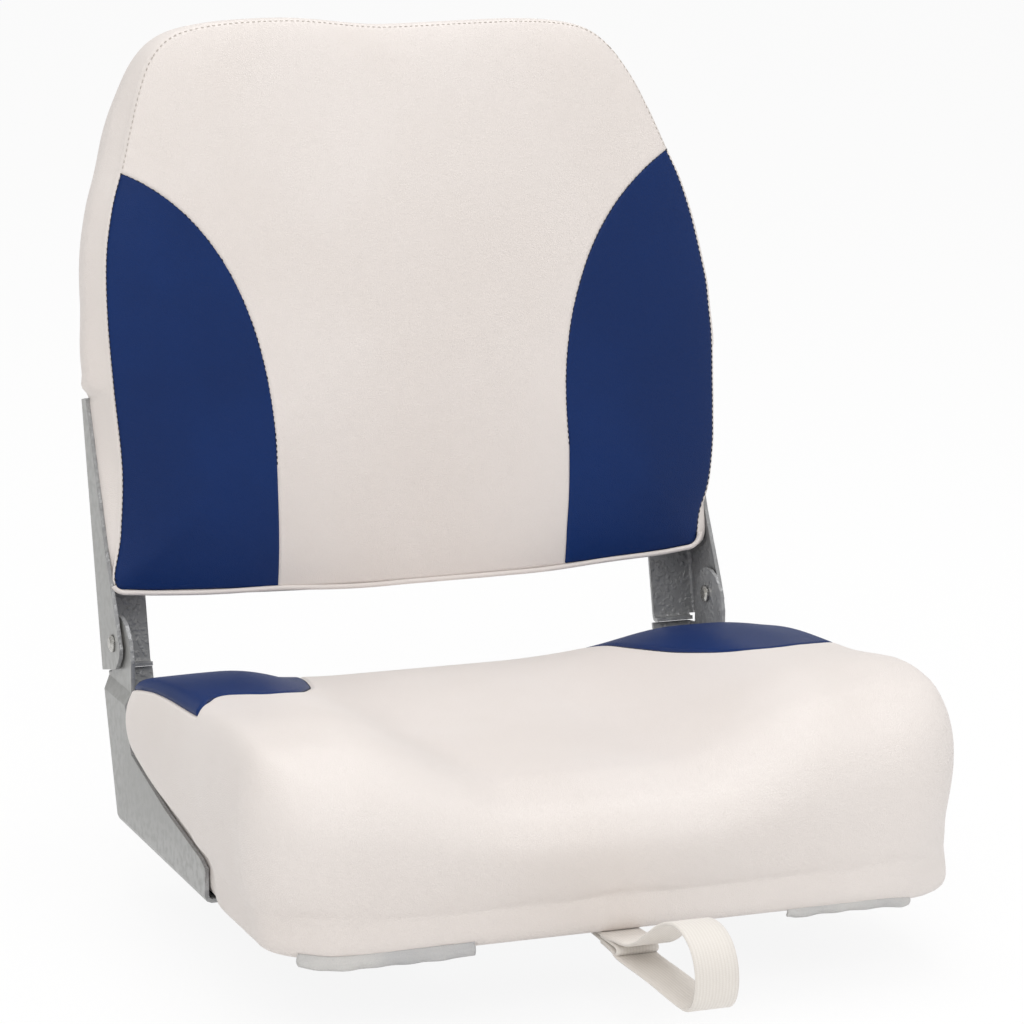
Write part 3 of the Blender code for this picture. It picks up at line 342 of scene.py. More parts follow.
usualGrain = {"range": 0.1, "sheen": 0.0, "coat": 0.0, "shine": 0.5, "edge": 0}
finishSet = {
    "whiteVinyl": {"color": (234, 227, 223), "shade": (229, 221, 216), "grain": 820.0, "drift": 7.0,
                   "roughness": 0.46, "range": 0.09, "sheen": 0.06, "depth": 0.00011},
    "blueVinyl": {"color": (5, 44, 103), "shade": (3, 37, 90), "grain": 820.0, "drift": 8.0,
                  "roughness": 0.46, "depth": 0.00011, "shine": 0.22},
    "blackPlastic": {"color": (38, 38, 40), "shade": (28, 28, 30), "grain": 1300.0, "drift": 14.0,
                     "roughness": 0.55, "range": 0.12, "depth": 0.00016, "edge": 0.0006},
    "nylon": {"color": (226, 223, 214), "shade": (210, 206, 196), "grain": 2000.0, "drift": 60.0,
              "roughness": 0.38, "range": 0.08, "coat": 0.1, "depth": 0.00003},
    "stripCloth": {"color": (190, 190, 192), "shade": (172, 172, 175), "grain": 1500.0, "drift": 30.0,
                   "roughness": 0.75, "sheen": 0.2, "depth": 0.00015},
    # the hem's light tone is the cover's own; its grey second tone, drifting in patches, is painted shade under the
    # front edge
    "hemPaintedShade": {"color": (222, 220, 217), "shade": (188, 189, 192), "grain": 1500.0, "drift": 15.0,
                 "roughness": 0.7, "sheen": 0.15, "depth": 0.00015},
    "whiteThread": {"color": (205, 198, 190), "shade": (188, 180, 172), "grain": 2600.0, "drift": 120.0,
                    "roughness": 0.6, "sheen": 0.2, "depth": 0.00005},
    "darkThread": {"color": (16, 27, 52), "shade": (10, 18, 38), "grain": 2600.0, "drift": 120.0,
                   "roughness": 0.5, "sheen": 0.1, "depth": 0.00005},
}
finishes = {name: grainMaterial(name, s) for name, s in finishSet.items()}

# the last colour is a painted highlight for the edges
paintSet = {"outer": (154, 154, 152), "outerDark": (146, 147, 145), "inner": (152, 153, 154),
            "innerDark": (138, 139, 141), "gleamPatches": (205, 206, 206)}


def makePaint():    # satin grey outside, hammertone where the plate faces inward or back
    material, tree = newMaterial("greyPaint")
    coords = addNode(tree, "ShaderNodeTexCoord")
    side = addNode(tree, "ShaderNodeSeparateXYZ", Vector=coords.outputs["Object"]).outputs["X"]
    facing = addNode(tree, "ShaderNodeSeparateXYZ", Vector=coords.outputs["Normal"]).outputs["X"]
    outward = spread(tree, times(tree, maths(tree, "SIGN", side), facing), 0.25, 0.75)
    smooth = placeGroup(tree, "hammer", Paint=paintSet["outer"], Dark=paintSet["outerDark"], Scale=420.0,
                        Contrast=0.2, Roughness=0.36)
    rough = placeGroup(tree, "hammer", Paint=paintSet["inner"], Dark=paintSet["innerDark"], Scale=300.0,
                       Contrast=0.35, Roughness=0.3)
    edgeGleam = placeGroup(tree, "edgeGleam", Low=0.53, High=0.66, Patches=180.0)["Mask"]
    color = mixColor(tree, outward, rough["Color"], smooth["Color"])
    # the edges are lightened towards the last paint colour, a painted highlight
    gleamed = mixColor(tree, times(tree, edgeGleam, 0.35), color, fromDisplay(paintSet["gleamPatches"]))
    roughness = mixNumber(tree, outward, rough["Roughness"], smooth["Roughness"])
    height = times(tree, rough["Height"], minus(tree, 1.03, outward))
    dressed(tree, gleamed, roughness, height, 0.0003, 1.0, 0.0007, Metallic=0.25)
    return material


def platedMaterial(name, bright, dull, roughness, scale):
    material, tree = newMaterial(name)
    plate = placeGroup(tree, "plating", Bright=bright, Dull=dull, Scale=scale, Roughness=roughness)
    edgeGleam = placeGroup(tree, "edgeGleam", Low=0.52, High=0.62, Patches=320.0)["Mask"]
    # the edges are lightened, a painted highlight
    gleamed = mixColor(tree, times(tree, edgeGleam, 0.5), plate["Color"], fromDisplay((226, 226, 224)))
    dressed(tree, gleamed, plate["Roughness"], plate["Height"], 0.00003, 0.6, 0.0003, Metallic=1)
    return material


def makeWebbing():
    material, tree = newMaterial("webbing")
    weave = placeGroup(tree, "weave", Thread=(232, 227, 221), Valley=(223, 217, 210), Ribs=520.0, Picks=820.0)
    dressed(tree, weave["Color"], weave["Roughness"], weave["Height"], 0.00007, Sheen_Weight=0.25)
    return material


finishes["greyPaint"] = makePaint()
finishes["nickel"] = platedMaterial("nickelPlate", (186, 184, 178), (158, 156, 152), 0.24, 420.0)
finishes["zinc"] = platedMaterial("zincPlate", (188, 192, 198), (160, 165, 170), 0.36, 150.0)
finishes["webbing"] = makeWebbing()

print("finishes on the frame's own nodes")
nodeFinish = {
    "greyPaint": ("left_seat_bracket", "right_seat_bracket", "left_back_bracket", "right_back_bracket"),
    "blackPlastic": ("seat_pan", "back_board"),
    "nylon": ("left_pivot_washer", "right_pivot_washer"),
    "zinc": ("swivel_lower_plate", "swivel_upper_plate", "swivel_hub_rivet", "swivel_ball_ring", "strap_washer"),
    "stripCloth": ("back_bottom_strip",),
    "nickel": ("left_pivot_rivet", "right_pivot_rivet", "strap_screw"),
}


def dress(node, finish):
    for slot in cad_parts[node].material_slots:
        slot.material = finishes[finish]


for finish, nodes in nodeFinish.items():
    for node in nodes:
        dress(node, finish)
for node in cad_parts:
    if "_screw_" in node or "_bolt_" in node:
        dress(node, "nickel" if "_screw_" in node else "zinc")


# Shape helpers
def ease(value, low, high):    # a smooth step from 0 to 1
    t = max(0.0, min(1.0, (value - low) / (high - low)))
    return t * t * (3 - 2 * t)


def curveAlong(table, place):    # a smooth curve through (place, value) pairs
    if place <= table[0][0]:
        return table[0][1]
    if place >= table[-1][0]:
        return table[-1][1]
    last = len(table) - 1
    i = next(k for k in range(last) if place <= table[k + 1][0])

    def slope(k):
        a, b = table[max(k - 1, 0)], table[min(k + 1, last)]
        return (b[1] - a[1]) / (b[0] - a[0])

    (x0, y0), (x1, y1) = table[i], table[i + 1]
    span = x1 - x0
    t = (place - x0) / span
    return ((2 * t ** 3 - 3 * t ** 2 + 1) * y0 + (t ** 3 - 2 * t ** 2 + t) * span * slope(i)
            + (3 * t ** 2 - 2 * t ** 3) * y1 + (t ** 3 - t ** 2) * span * slope(i + 1))


def curveThrough(points, steps):
    route = []
    for i in range(len(points) - 1):
        a, b, c, d = points[max(i - 1, 0)], points[i], points[i + 1], points[min(i + 2, len(points) - 1)]
        for step in range(steps):
            t = step / steps
            route.append(0.5 * (2 * b + (c - a) * t + (2 * a - 5 * b + 4 * c - d) * t * t
                                + (3 * b - a - 3 * c + d) * t ** 3))
    route.append(points[-1])
    return route


def seamSide(point, legs):    # signed distance from a run of legs, above zero to their right
    best, within = 1.0, -1
    for a, b in legs:
        run = b - a
        t = max(0.0, min(1.0, (point - a).dot(run) / run.length_squared))
        away = point - a - run * t
        if away.length < best:
            best = away.length
            within = 1 if run.x * away.y - run.y * away.x < 0 else -1
    return best * within


class Outline:    # a half outline in three runs: front or bottom, side, rear or top
    def __init__(self, *runs):
        self.runs = []
        for points in runs:
            marks = [0.0]
            for a, b in zip(points, points[1:]):
                marks.append(marks[-1] + (b - a).length)
            self.runs.append((points, marks))

    def pick(self, run, share):
        points, marks = self.runs[run]
        goal = share * marks[-1]
        i = next((k for k in range(len(points) - 1) if goal <= marks[k + 1]), len(points) - 2)
        a, b = points[i], points[i + 1]
        t = (goal - marks[i]) / (marks[i + 1] - marks[i])
        before, after = points[max(i - 1, 0)], points[min(i + 2, len(points) - 1)]
        way = (b - before).normalized() * (1 - t) + (after - a).normalized() * t
        return a.lerp(b, t), Vector((way.y, -way.x)).normalized()

    def at(self, u, v):    # u, v on the edge of the unit square
        if v <= -1 + 1e-6:
            point, normal = self.pick(0, abs(u))
        elif v >= 1 - 1e-6:
            point, normal = self.pick(2, 1 - abs(u))
        else:
            point, normal = self.pick(1, (v + 1) / 2)
        side = -1 if u < 0 else 1
        if abs(u) < 1e-6:
            normal.x = 0
        return Vector((side * point.x, point.y)), Vector((side * normal.x, normal.y)).normalized()

    def place(self, u, v, centre):
        m = max(abs(u), abs(v))
        if m < 1e-6:
            return centre.copy()
        point, normal = self.at(u / m, v / m)
        return centre + (point - centre) * m


def arcPoints(cx, cy, radius, start, end, count):
    turn = [math.radians(start + (end - start) * k / count) for k in range(count + 1)]
    return [Vector((cx + radius * math.cos(a), cy + radius * math.sin(a))) for a in turn]


def gridShell(columns, rows):    # a square grid that remembers its own place as two layers
    bm = bmesh.new()
    bmesh.ops.create_grid(bm, x_segments=columns, y_segments=rows, size=1)
    uLayer, vLayer = bm.verts.layers.float.new("across"), bm.verts.layers.float.new("along")
    for vert in bm.verts:
        vert[uLayer], vert[vLayer] = vert.co.x, vert.co.y
    return bm, uLayer, vLayer


def growRing(bm, edges, placing):    # one more ring down the side
    grown = bmesh.ops.extrude_edge_only(bm, edges=edges)["geom"]
    for vert in grown:
        if isinstance(vert, bmesh.types.BMVert):
            vert.co = placing(vert)
    return [edge for edge in grown if isinstance(edge, bmesh.types.BMEdge) and edge.is_boundary]


def closeRing(bm, edges):
    bmesh.ops.holes_fill(bm, edges=edges, sides=0)


def cutAlong(bm, level):    # new edges where level passes zero
    value = {vert: level(vert) for vert in bm.verts}
    fresh = set()
    for edge in list(bm.edges):
        a, b = edge.verts
        if value[a] * value[b] < 0:
            share = value[a] / (value[a] - value[b])
            if share < 0.08:
                value[a] = 0.0
                fresh.add(a)
            elif share > 0.92:
                value[b] = 0.0
                fresh.add(b)
            else:
                made, vert = bmesh.utils.edge_split(edge, a, share)
                value[vert] = 0.0
                fresh.add(vert)
    for face in list(bm.faces):
        marked = [vert for vert in face.verts if vert in fresh]
        if len(marked) == 2 and not any(edge.other_vert(marked[0]) is marked[1] for edge in marked[0].link_edges):
            bmesh.utils.face_split(face, marked[0], marked[1])
    return value


def refineNear(bm, level, reach):    # halves the cells within reach of the seam
    close = {vert for vert in bm.verts if abs(level(vert)) < reach}
    near = [edge for edge in bm.edges if edge.verts[0] in close or edge.verts[1] in close]
    bmesh.ops.subdivide_edges(bm, edges=near, cuts=1, use_grid_fill=True)


def smoothed(bm, verts):
    bmesh.ops.smooth_vert(bm, verts=verts, factor=0.5, use_axis_x=True, use_axis_y=True, use_axis_z=True)


def pushed(bm, depth):    # moves each vertex along its normal, where depth(vert) says how far
    bm.normal_update()
    moves = [(vert, vert.normal.copy(), depth(vert)) for vert in bm.verts]
    for vert, normal, out in moves:
        if out is not None:
            vert.co += normal * out


def newPiece(name, bm, body, finish, toWorld=None, sharpAngle=None):
    if toWorld:
        for vert in bm.verts:
            vert.co = toWorld(vert.co)
    bmesh.ops.recalc_face_normals(bm, faces=bm.faces)
    mesh = bpy.data.meshes.new(name)
    bm.to_mesh(mesh)
    bm.free()
    mesh.materials.append(finishes[finish])
    mesh.shade_smooth()
    if sharpAngle:
        mesh.set_sharp_from_angle(angle=math.radians(sharpAngle))
    item = newObject(name, mesh)
    if body:
        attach(item, body)
    return item


def solidified(item, thickness):
    shell = item.modifiers.new("thickness", "SOLIDIFY")
    shell.thickness = thickness
    shell.offset = -1


# The cushions are fuller than their frames, and fuller on the right
fullSet = {
    "seatRight": 0.0120, "seatLeft": 0.0045, "seatRightLift": 0.0053, "seatLeftLift": 0.0015,
    "cornerRight": 0.0062, "cornerOut": 0.0030, "footRight": 0.0066, "footDrop": 0.0055, "footLeft": -0.0055,
    "backRight": ((0, -0.0040), (0.03, -0.0032), (0.06, -0.0005), (0.11, 0.0086), (0.158, 0.0140), (0.207, 0.0173),
                  (0.256, 0.0180), (0.305, 0.0178), (0.40, 0.0168), (0.45, 0.0150), (0.50, 0.0138), (0.55, 0.0112),
                  (0.60, 0.0090), (0.75, 0.0045), (0.85, -0.0005), (0.93, -0.006), (1.0, -0.0105)),
    "backLeft": ((0, 0.0055), (0.03, 0.0045), (0.06, 0.0024), (0.11, 0.0008), (0.5, 0.0005), (0.75, 0.0005),
                 (0.88, 0.0010), (0.96, 0.0030), (1.0, 0.0040)),
    "boxingLeft": 0.0055, "boxingLow": 0.0030, "boxingRight": 0.0050, "topLeft": 0.0050, "foldRoom": 0.0014,
    "plateEnd": (0.194, 0.224), "wide": (0.11, 0.203), "narrow": (0.188, 0.206), "outer": (0.165, 0.200),
    "plateTop": (0.153, 0.163), "calmTop": (0.82, 0.97),
}


def seatFull(point):
    s = fullSet
    right = point.x > 0
    x, y, z = abs(point.x), point.y, point.z
    over = ease(z - curveAlong(seatSet["edge"], y), 0.001, 0.016) * ease(-y, 0.03, 0.08)
    region = max(ease(-y, *s["plateEnd"]), over)
    wide, narrow = ease(x, *s["wide"]), ease(x, *s["narrow"])
    share = narrow + (wide - narrow) * ease(z, 0.018, 0.05)
    grown = (s["seatRight"] if right else s["seatLeft"]) * share * region
    grown += ((s["footRight"] if right else s["footLeft"]) * ease(x, 0.15, 0.195)
              * (1 - ease(z, 0.012, 0.05)) * ease(-y, 0.196, 0.222))
    lift = (s["seatRightLift"] if right else s["seatLeftLift"])
    lift *= ease(x, 0.06, 0.15) * ease(z, 0.045, 0.09) * ease(-y, 0.0, 0.06)
    if right:
        lift *= 1 - 0.75 * ease(x, *s["outer"])
        corner = ease(x, 0.15, 0.19) * ease(-y, 0.19, 0.28) * ease(z, 0.06, 0.10)
        lift += s["cornerRight"] * corner
        lift -= (s["footDrop"] * ease(x, *s["outer"]) * ease(-y, 0.17, 0.22)
                 * (1 - ease(z, 0.010, 0.05)))
        grown += s["cornerOut"] * corner
    return Vector((point.x + (grown if right else -grown), y, z + lift))


def backFull(point):
    s = fullSet
    right = point.x > 0
    x, y, z = abs(point.x), point.y, point.z
    share = (z - backSet["bottom"]) / backSet["height"]
    front = backFront(z)
    t = (y - front) / (backSet["rear"] - front)
    clear = 0.15 + 0.55 * max(0.0, min(1.0, (z - 0.055) / 0.0995)) + 0.9 * ease(z, 0.154, 0.166)
    fade = 1 - ease(t, 0.0, clear)
    pull = curveAlong(s["backRight"] if right else s["backLeft"], share) * ease(x, 0.07, 0.19) * fade
    puff = (s["boxingRight"] if right else s["boxingLeft"]) * ease(z, *s["plateTop"])
    puff *= 1 - ease(share, *s["calmTop"])
    if not right:
        puff += s["boxingLow"] * ease(z, *s["plateTop"]) * (1 - ease(z, 0.175, 0.215))
    pull += puff * ease(t, 0.05, 0.4) * (1 - 0.75 * ease(t, 0.6, 1.0)) * ease(x, 0.12, 0.18)
    lift = 0 if right else s["topLeft"] * ease(share, 0.86, 1) * ease(x, 0.0, 0.07)
    room = s["foldRoom"] * ease(x, 0.10, 0.14) * ease(share, -0.05, 0.10)
    room *= (1 - ease(share, 0.30, 0.48)) * (1 - ease(t, 0, 0.35))    # for the folded back
    return Vector((point.x + (pull if right else -pull), y + room, z + lift))


def seatSkin(point):
    return seatToWorld(seatFull(point))


def backSkin(point):
    return backToWorld(backFull(point))


print("seat cushion")
seatSet = {
    "halfWidth": 0.201, "rearHalfWidth": 0.1965, "front": -0.325, "rear": 0.018,
    "frontRadius": 0.038, "rearRadius": 0.024, "crown": 0.088, "bolster": 0.123,
    "centre": ((-1, 0.91), (-0.88, 1), (-0.46, 0.97), (-0.06, 0.955), (0, 0.90), (0.06, 0.785)),
    "side": ((-1, 0.83), (-0.93, 0.945), (-0.85, 0.985), (-0.77, 1), (-0.55, 0.965), (-0.31, 0.91),
             (-0.12, 0.79), (0, 0.67), (0.06, 0.585)),
    "rise": {-1: (0.28, 0.77), 1: (0.23, 0.72)},
    "edge": ((-0.192, 0.024), (-0.1824, 0.0274), (-0.1114, 0.0375), (-0.0384, 0.0534), (-0.0208, 0.0385)),
    "rearLean": math.radians(19.1),
    "sideBulge": 0.011, "frontBulge": 0.020, "sideBand": 0.006, "frontBand": 0.010, "plateRoom": 0.0005,
    "cornerTop": 0.0128, "hemLevel": 0.0028, "hemWidth": 0.017, "turnIn": 0.006, "wallIn": 0.0015, "skin": 0.0012,
    "floor": 0.0146,
    "seams": {
        -1: ((0.43, 0.06), (0.43, -0.02), (0.444, -0.102), (0.496, -0.229), (0.56, -0.337), (0.61, -0.415),
             (0.663, -0.485), (0.72, -0.530), (0.78, -0.543), (0.84, -0.527), (0.896, -0.518), (0.94, -0.533),
             (0.985, -0.572), (1.08, -0.60)),
        1: ((0.50, 0.06), (0.51, -0.02), (0.525, -0.09), (0.535, -0.18), (0.543, -0.28), (0.566, -0.38),
            (0.598, -0.460), (0.652, -0.548), (0.702, -0.584), (0.765, -0.590), (0.844, -0.578), (0.90, -0.553),
            (0.956, -0.527), (1.0, -0.515), (1.08, -0.50))},
    "seamInset": -0.0065, "rearInset": 0.006, "panelInner": 0.080, "panelFront": -0.24,
    "grooveDepth": 0.0016, "grooveWidth": 0.0015, "panelSink": 0.0030,
    "columns": 134, "rows": 114, "sideRings": 26, "footRings": 9, "rounding": 10,
    "creaseDepth": 0.0009, "creaseWidth": 0.0022, "creaseLevel": 0.0255, "wrinkle": 0.0008,
    "creaseWander": 0.0022, "creaseRise": 0.004, "foldTop": 0.040, "foldFrom": (0.200, 0.226),
}


def seatHalf(y):
    s = seatSet
    return s["rearHalfWidth"] + (s["halfWidth"] - s["rearHalfWidth"]) * ease(-y, 0.030, 0.055)


def seatHeight(x, y):
    s = seatSet
    place = y / -s["front"]
    low = s["crown"] * curveAlong(s["centre"], place)
    high = s["bolster"] * curveAlong(s["side"], place)
    start, end = s["rise"][-1 if x < 0 else 1]
    return low + (high - low) * ease(abs(x) / s["halfWidth"], start, end)


def seatOutline():
    s = seatSet
    frontFlat, rearFlat = s["halfWidth"] - s["frontRadius"], s["rearHalfWidth"] - s["rearRadius"]
    frontRow, rearRow = s["front"] + s["frontRadius"], s["rear"] - s["rearRadius"]
    front = [Vector((0, s["front"]))] + arcPoints(frontFlat, frontRow, s["frontRadius"], -90, -45, 12)
    side = arcPoints(frontFlat, frontRow, s["frontRadius"], -45, 0, 12)
    steps = 60
    for k in range(1, steps):
        y = frontRow + (rearRow - frontRow) * k / steps
        side.append(Vector((seatHalf(y), y)))
    side += arcPoints(rearFlat, rearRow, s["rearRadius"], 0, 45, 8)
    rear = arcPoints(rearFlat, rearRow, s["rearRadius"], 45, 90, 8) + [Vector((0, s["rear"]))]
    return Outline(front, side, rear)


seatEdge = seatOutline()
seatCentre = Vector((0, (seatSet["front"] + seatSet["rear"]) / 2))


def seatBulge(point, normal):
    s = seatSet
    full = s["sideBulge"] + (s["frontBulge"] - s["sideBulge"]) * max(0.0, -normal.y)
    return full * ease(-point.y, 0.0325, 0.0572)


def seatBand(point, normal):
    s = seatSet
    loose = s["sideBand"] + (s["frontBand"] - s["sideBand"]) * max(0.0, -normal.y)
    return s["plateRoom"] + (loose - s["plateRoom"]) * ease(-point.y, 0.1958, 0.2208)


def seatWall(point, normal, z, offset):
    drop = seatHeight(point.x, point.y) - z
    lean = drop * math.tan(seatSet["rearLean"]) * ease(point.y, -0.0975, 0)
    return Vector((point.x + normal.x * offset, point.y + normal.y * offset - lean, z))


def seatSide(point, normal, t):
    s = seatSet
    seam, edge = seatHeight(point.x, point.y), curveAlong(s["edge"], point.y)
    full, band = seatBulge(point, normal), seatBand(point, normal)
    offset = curveAlong(((0, 0), (0.12, full * 0.5), (0.4, full), (0.75, full * 0.8), (1, band)), t)
    return seatWall(point, normal, seam + (edge - seam) * t, offset)


def seatLower(kind, share):    # the band over the pan's edge, its turn, the hem and the room for the pan
    s = seatSet

    def placing(point, normal):
        edge, angle = curveAlong(s["edge"], point.y), share * math.pi / 2
        z, inward = {
            "band": (edge + (s["cornerTop"] - edge) * share, 0),
            "turn": (s["cornerTop"] - (s["cornerTop"] - s["hemLevel"]) * math.sin(angle),
                     s["turnIn"] * (1 - math.cos(angle))),
            "hem": (s["hemLevel"], s["turnIn"] + (s["hemWidth"] - s["turnIn"]) * share),
            "back": (s["hemLevel"] + s["skin"], s["hemWidth"] - (s["hemWidth"] - s["turnIn"] - s["skin"]) * share),
            "wall": (s["cornerTop"], s["wallIn"]),
            "floor": (s["floor"], s["wallIn"]),
        }[kind]
        return seatWall(point, normal, z, seatBand(point, normal) - inward)
    return placing


def seatPanelLevel(vert):    # distance inside the blue panels, below zero outside
    s = seatSet
    x, y = abs(vert.co.x), vert.co.y
    if x < s["panelInner"] or y < s["panelFront"]:
        return -0.05
    half = seatHalf(y)
    corner = s["rear"] - s["rearRadius"]
    if y > corner and x > half - s["rearRadius"]:
        room = s["rearRadius"] - math.hypot(x - half + s["rearRadius"], y - corner)
    else:
        room = min(half - x, s["rear"] - y)
    drop = seatHeight(x, y) - vert.co.z
    room -= s["seamInset"] + max(0.0, drop - 0.004)
    rearRoom = s["rear"] - s["rearInset"] - y - max(0.0, drop - 0.004)
    return min(-seamSide(Vector((x, y)), seatSeamLegs[-1 if vert.co.x < 0 else 1]), room, rearRoom)


seatSeams = {side: curveThrough([Vector((seatSet["halfWidth"] * x, -seatSet["front"] * y)) for x, y in table], 6)
             for side, table in seatSet["seams"].items()}
seatSeamLegs = {side: list(zip(seam, seam[1:])) for side, seam in seatSeams.items()}


def softNoise(point, scale, seed=0.0):
    return noise.noise(Vector((point.x * scale + seed, point.y * scale - seed, point.z * scale + seed * 0.5)))


def foldFoot(bm):    # the crease above the band, and the gathers in it
    s = seatSet

    def depth(vert):
        x, y, z = vert.co
        if z > s["foldTop"] or z < s["hemLevel"] + 0.0005 or abs(vert.normal.z) > 0.8:
            return None
        along = math.atan2(x, -(y + 0.15)) * 0.25
        level = s["creaseLevel"] + s["creaseWander"] * noise.noise(Vector((along * 26, 1.5, 0)))
        level += s["creaseRise"] * ease(abs(x), 0.12, 0.2)
        dip = s["creaseDepth"] * (0.55 + 0.6 * noise.noise(Vector((along * 34, 7.5, 0))))
        dip *= math.exp(-((z - level) / s["creaseWidth"]) ** 2)
        below = ease(level - z, -0.001, 0.003) * ease(z, s["hemLevel"], s["hemLevel"] + 0.006)
        corner = 0.35 + 0.65 * ease(abs(x), 0.07, 0.16)
        dip += s["wrinkle"] * corner * below * noise.noise(Vector((along * 95, z * 30, 3.3)))
        return -dip * ease(-y, *s["foldFrom"])

    pushed(bm, depth)


def seatSurface():
    s = seatSet
    bm, uLayer, vLayer = gridShell(s["columns"], s["rows"])
    edges = [edge for edge in bm.edges if edge.is_boundary]
    for vert in bm.verts:
        flat = seatEdge.place(vert[uLayer], vert[vLayer], seatCentre)
        vert.co = (flat.x, flat.y, seatHeight(flat.x, flat.y))

    def ring(placing):
        return growRing(bm, edges, lambda vert: placing(*seatEdge.at(vert[uLayer], vert[vLayer])))

    upper, foot = s["sideRings"], s["footRings"]
    for t in [0.84 * k / upper for k in range(1, upper + 1)] + [0.84 + 0.16 * k / foot for k in range(1, foot + 1)]:
        edges = ring(lambda point, normal: seatSide(point, normal, t))
    smoothed(bm, bm.verts)
    rim = [vert for vert in bm.verts if max(abs(vert[uLayer]), abs(vert[vLayer])) > 0.9]
    for k in range(s["rounding"]):
        smoothed(bm, [vert for vert in rim if not vert.is_boundary])
    for kind, count in (("band", 7), ("turn", 5), ("hem", 4), ("back", 3), ("wall", 1), ("floor", 1)):
        for k in range(1, count + 1):
            share = k / count
            edges = ring(seatLower(kind, share))
    closeRing(bm, edges)
    bmesh.ops.recalc_face_normals(bm, faces=bm.faces)
    foldFoot(bm)
    return bm


seamReach = 0.006    # how far a seam draws the skin in
seamReaches = (seamReach, 0.003)
seatBm = seatSurface()
print("  surface", len(seatBm.verts))
for reach in seamReaches:
    refineNear(seatBm, seatPanelLevel, reach)
seatBm.normal_update()
panelBm = seatBm.copy()


def sinkPanels(bm, level, s):    # the white skin dips into the seam and runs under the blue panels
    def depth(vert):
        d = level(vert)
        if d <= -seamReach:
            return None
        dip = s["grooveDepth"] * math.exp(-(min(d, 0) / s["grooveWidth"]) ** 2)
        return -dip - (s["panelSink"] - s["grooveDepth"]) * ease(d, 0, 0.0009)

    pushed(bm, depth)


def panelPieces(bm, level, s, lift):    # the blue panels: the same skin, cut at the seam and turned down into it
    value = cutAlong(bm, level)
    spare = [face for face in bm.faces if sum(value[vert] for vert in face.verts) <= 0]
    bmesh.ops.delete(bm, geom=spare, context="FACES")

    def rise(vert):
        d = max(0.0, value[vert])
        return lift * ease(d, 0.002, 0.05) - s["grooveDepth"] * 0.95 * math.exp(-(d / s["grooveWidth"]) ** 2)

    pushed(bm, rise)


sinkPanels(seatBm, seatPanelLevel, seatSet)
panelPieces(panelBm, seatPanelLevel, seatSet, 0.0006)
seatTree, seatPanelTree = BVHTree.FromBMesh(seatBm), BVHTree.FromBMesh(panelBm)
seatCushion = newPiece("seatCushion", seatBm, "seat", "whiteVinyl", seatSkin)
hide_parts("seat_cover", "seat_foam")


def bluePanels(bm, part, body, toWorld):    # one piece on each side
    for side, label in ((-1, "Left"), (1, "Right")):
        half = bm.copy()
        bmesh.ops.delete(half, geom=[vert for vert in half.verts if vert.co.x * side < 0], context="VERTS")
        panel = newPiece(part + "Panel" + label, half, body, "blueVinyl", toWorld)
        solidified(panel, seatSet["skin"])
        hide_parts(part + "_insert_" + label.lower())
    bm.free()


bluePanels(panelBm, "seat", "seat", seatSkin)


print("back cushion")
backSet = {
    "halfWidth": 0.198, "bottom": 0.0317, "dip": 0.0075, "height": 0.346, "cornerRadius": 0.008,
    "side": ((0.05, 1), (0.11, 0.988), (0.22, 0.973), (0.37, 0.985), (0.49, 0.992), (0.60, 0.985), (0.69, 0.955),
             (0.76, 0.915), (0.83, 0.88), (0.89, 0.845), (0.945, 0.79)),
    "top": ((0.945, 0.79), (0.98, 0.71), (0.995, 0.59), (1, 0.44), (0.9995, 0.28), (0.998, 0.14),
            (0.9972, 0.05), (0.997, 0)),
    "rear": 0.0302, "bottomDepth": 0.0348, "topDepth": 0.0565,
    "crown": 0.0105, "edgeRound": 0.0045, "boxing": 0.0036,
    "seams": {-1: ((0.480, 0.205), (0.474, 0.453), (0.606, 0.660), (0.93, 0.752)),
              1: ((0.5045, 0.205), (0.478, 0.453), (0.610, 0.658), (0.93, 0.752))},
    "grooveDepth": 0.0008, "grooveWidth": 0.0010, "panelSink": 0.0030,
    "panelInner": 0.088, "panelTop": 0.306, "plateInner": 0.2026, "snugReach": (0.2, 0.7),
    "columns": 130, "rows": 112, "sideRings": 14, "sag": 0.0012,
    "stripHalf": 0.156, "stripBand": (0.014, 0.041), "stripRise": 0.006, "stripLift": 0.0002,
}


def backFront(z):
    s = backSet
    return s["rear"] - s["bottomDepth"] - (s["topDepth"] - s["bottomDepth"]) * (z - s["bottom"]) / s["height"]


def bottomEdge(x):
    return backSet["bottom"] - backSet["dip"] * (1 - (x / backSet["halfWidth"]) ** 2)


def backOutline():
    s = backSet
    flat = s["halfWidth"] - s["cornerRadius"]
    bottom = [Vector((flat * k / 12, bottomEdge(flat * k / 12))) for k in range(12)]
    bottom += arcPoints(flat, s["bottom"] + s["cornerRadius"], s["cornerRadius"], -86, -45, 6)
    side = arcPoints(flat, s["bottom"] + s["cornerRadius"], s["cornerRadius"], -45, 0, 5)[:-1]
    side += [Vector((s["halfWidth"] * x, s["bottom"] + s["height"] * z)) for z, x in s["side"]]
    top = [Vector((s["halfWidth"] * x, s["bottom"] + s["height"] * z)) for z, x in s["top"]]
    both = curveThrough(side + top[1:], 6)
    mark = (len(side) - 1) * 6
    return Outline(bottom, both[:mark + 1], both[mark:])


backEdge = backOutline()
backCentre = Vector((0, backSet["bottom"] + backSet["height"] * 0.5))


def backCrown(m):
    s = backSet
    return s["crown"] * (1 - m ** 2.2) + s["edgeRound"] * (1 - m ** 14)


def rimDistance(vert, layers, edge, centre):    # from the seam round the front, below zero on the sides
    u, v, down = vert[layers[0]], vert[layers[1]], vert[layers[2]]
    if down > 0:
        return -down
    m = max(abs(u), abs(v))
    if m < 0.6:
        return 0.05
    point, normal = edge.at(u / m, v / m)
    return (1 - m) * (point - centre).dot(normal)


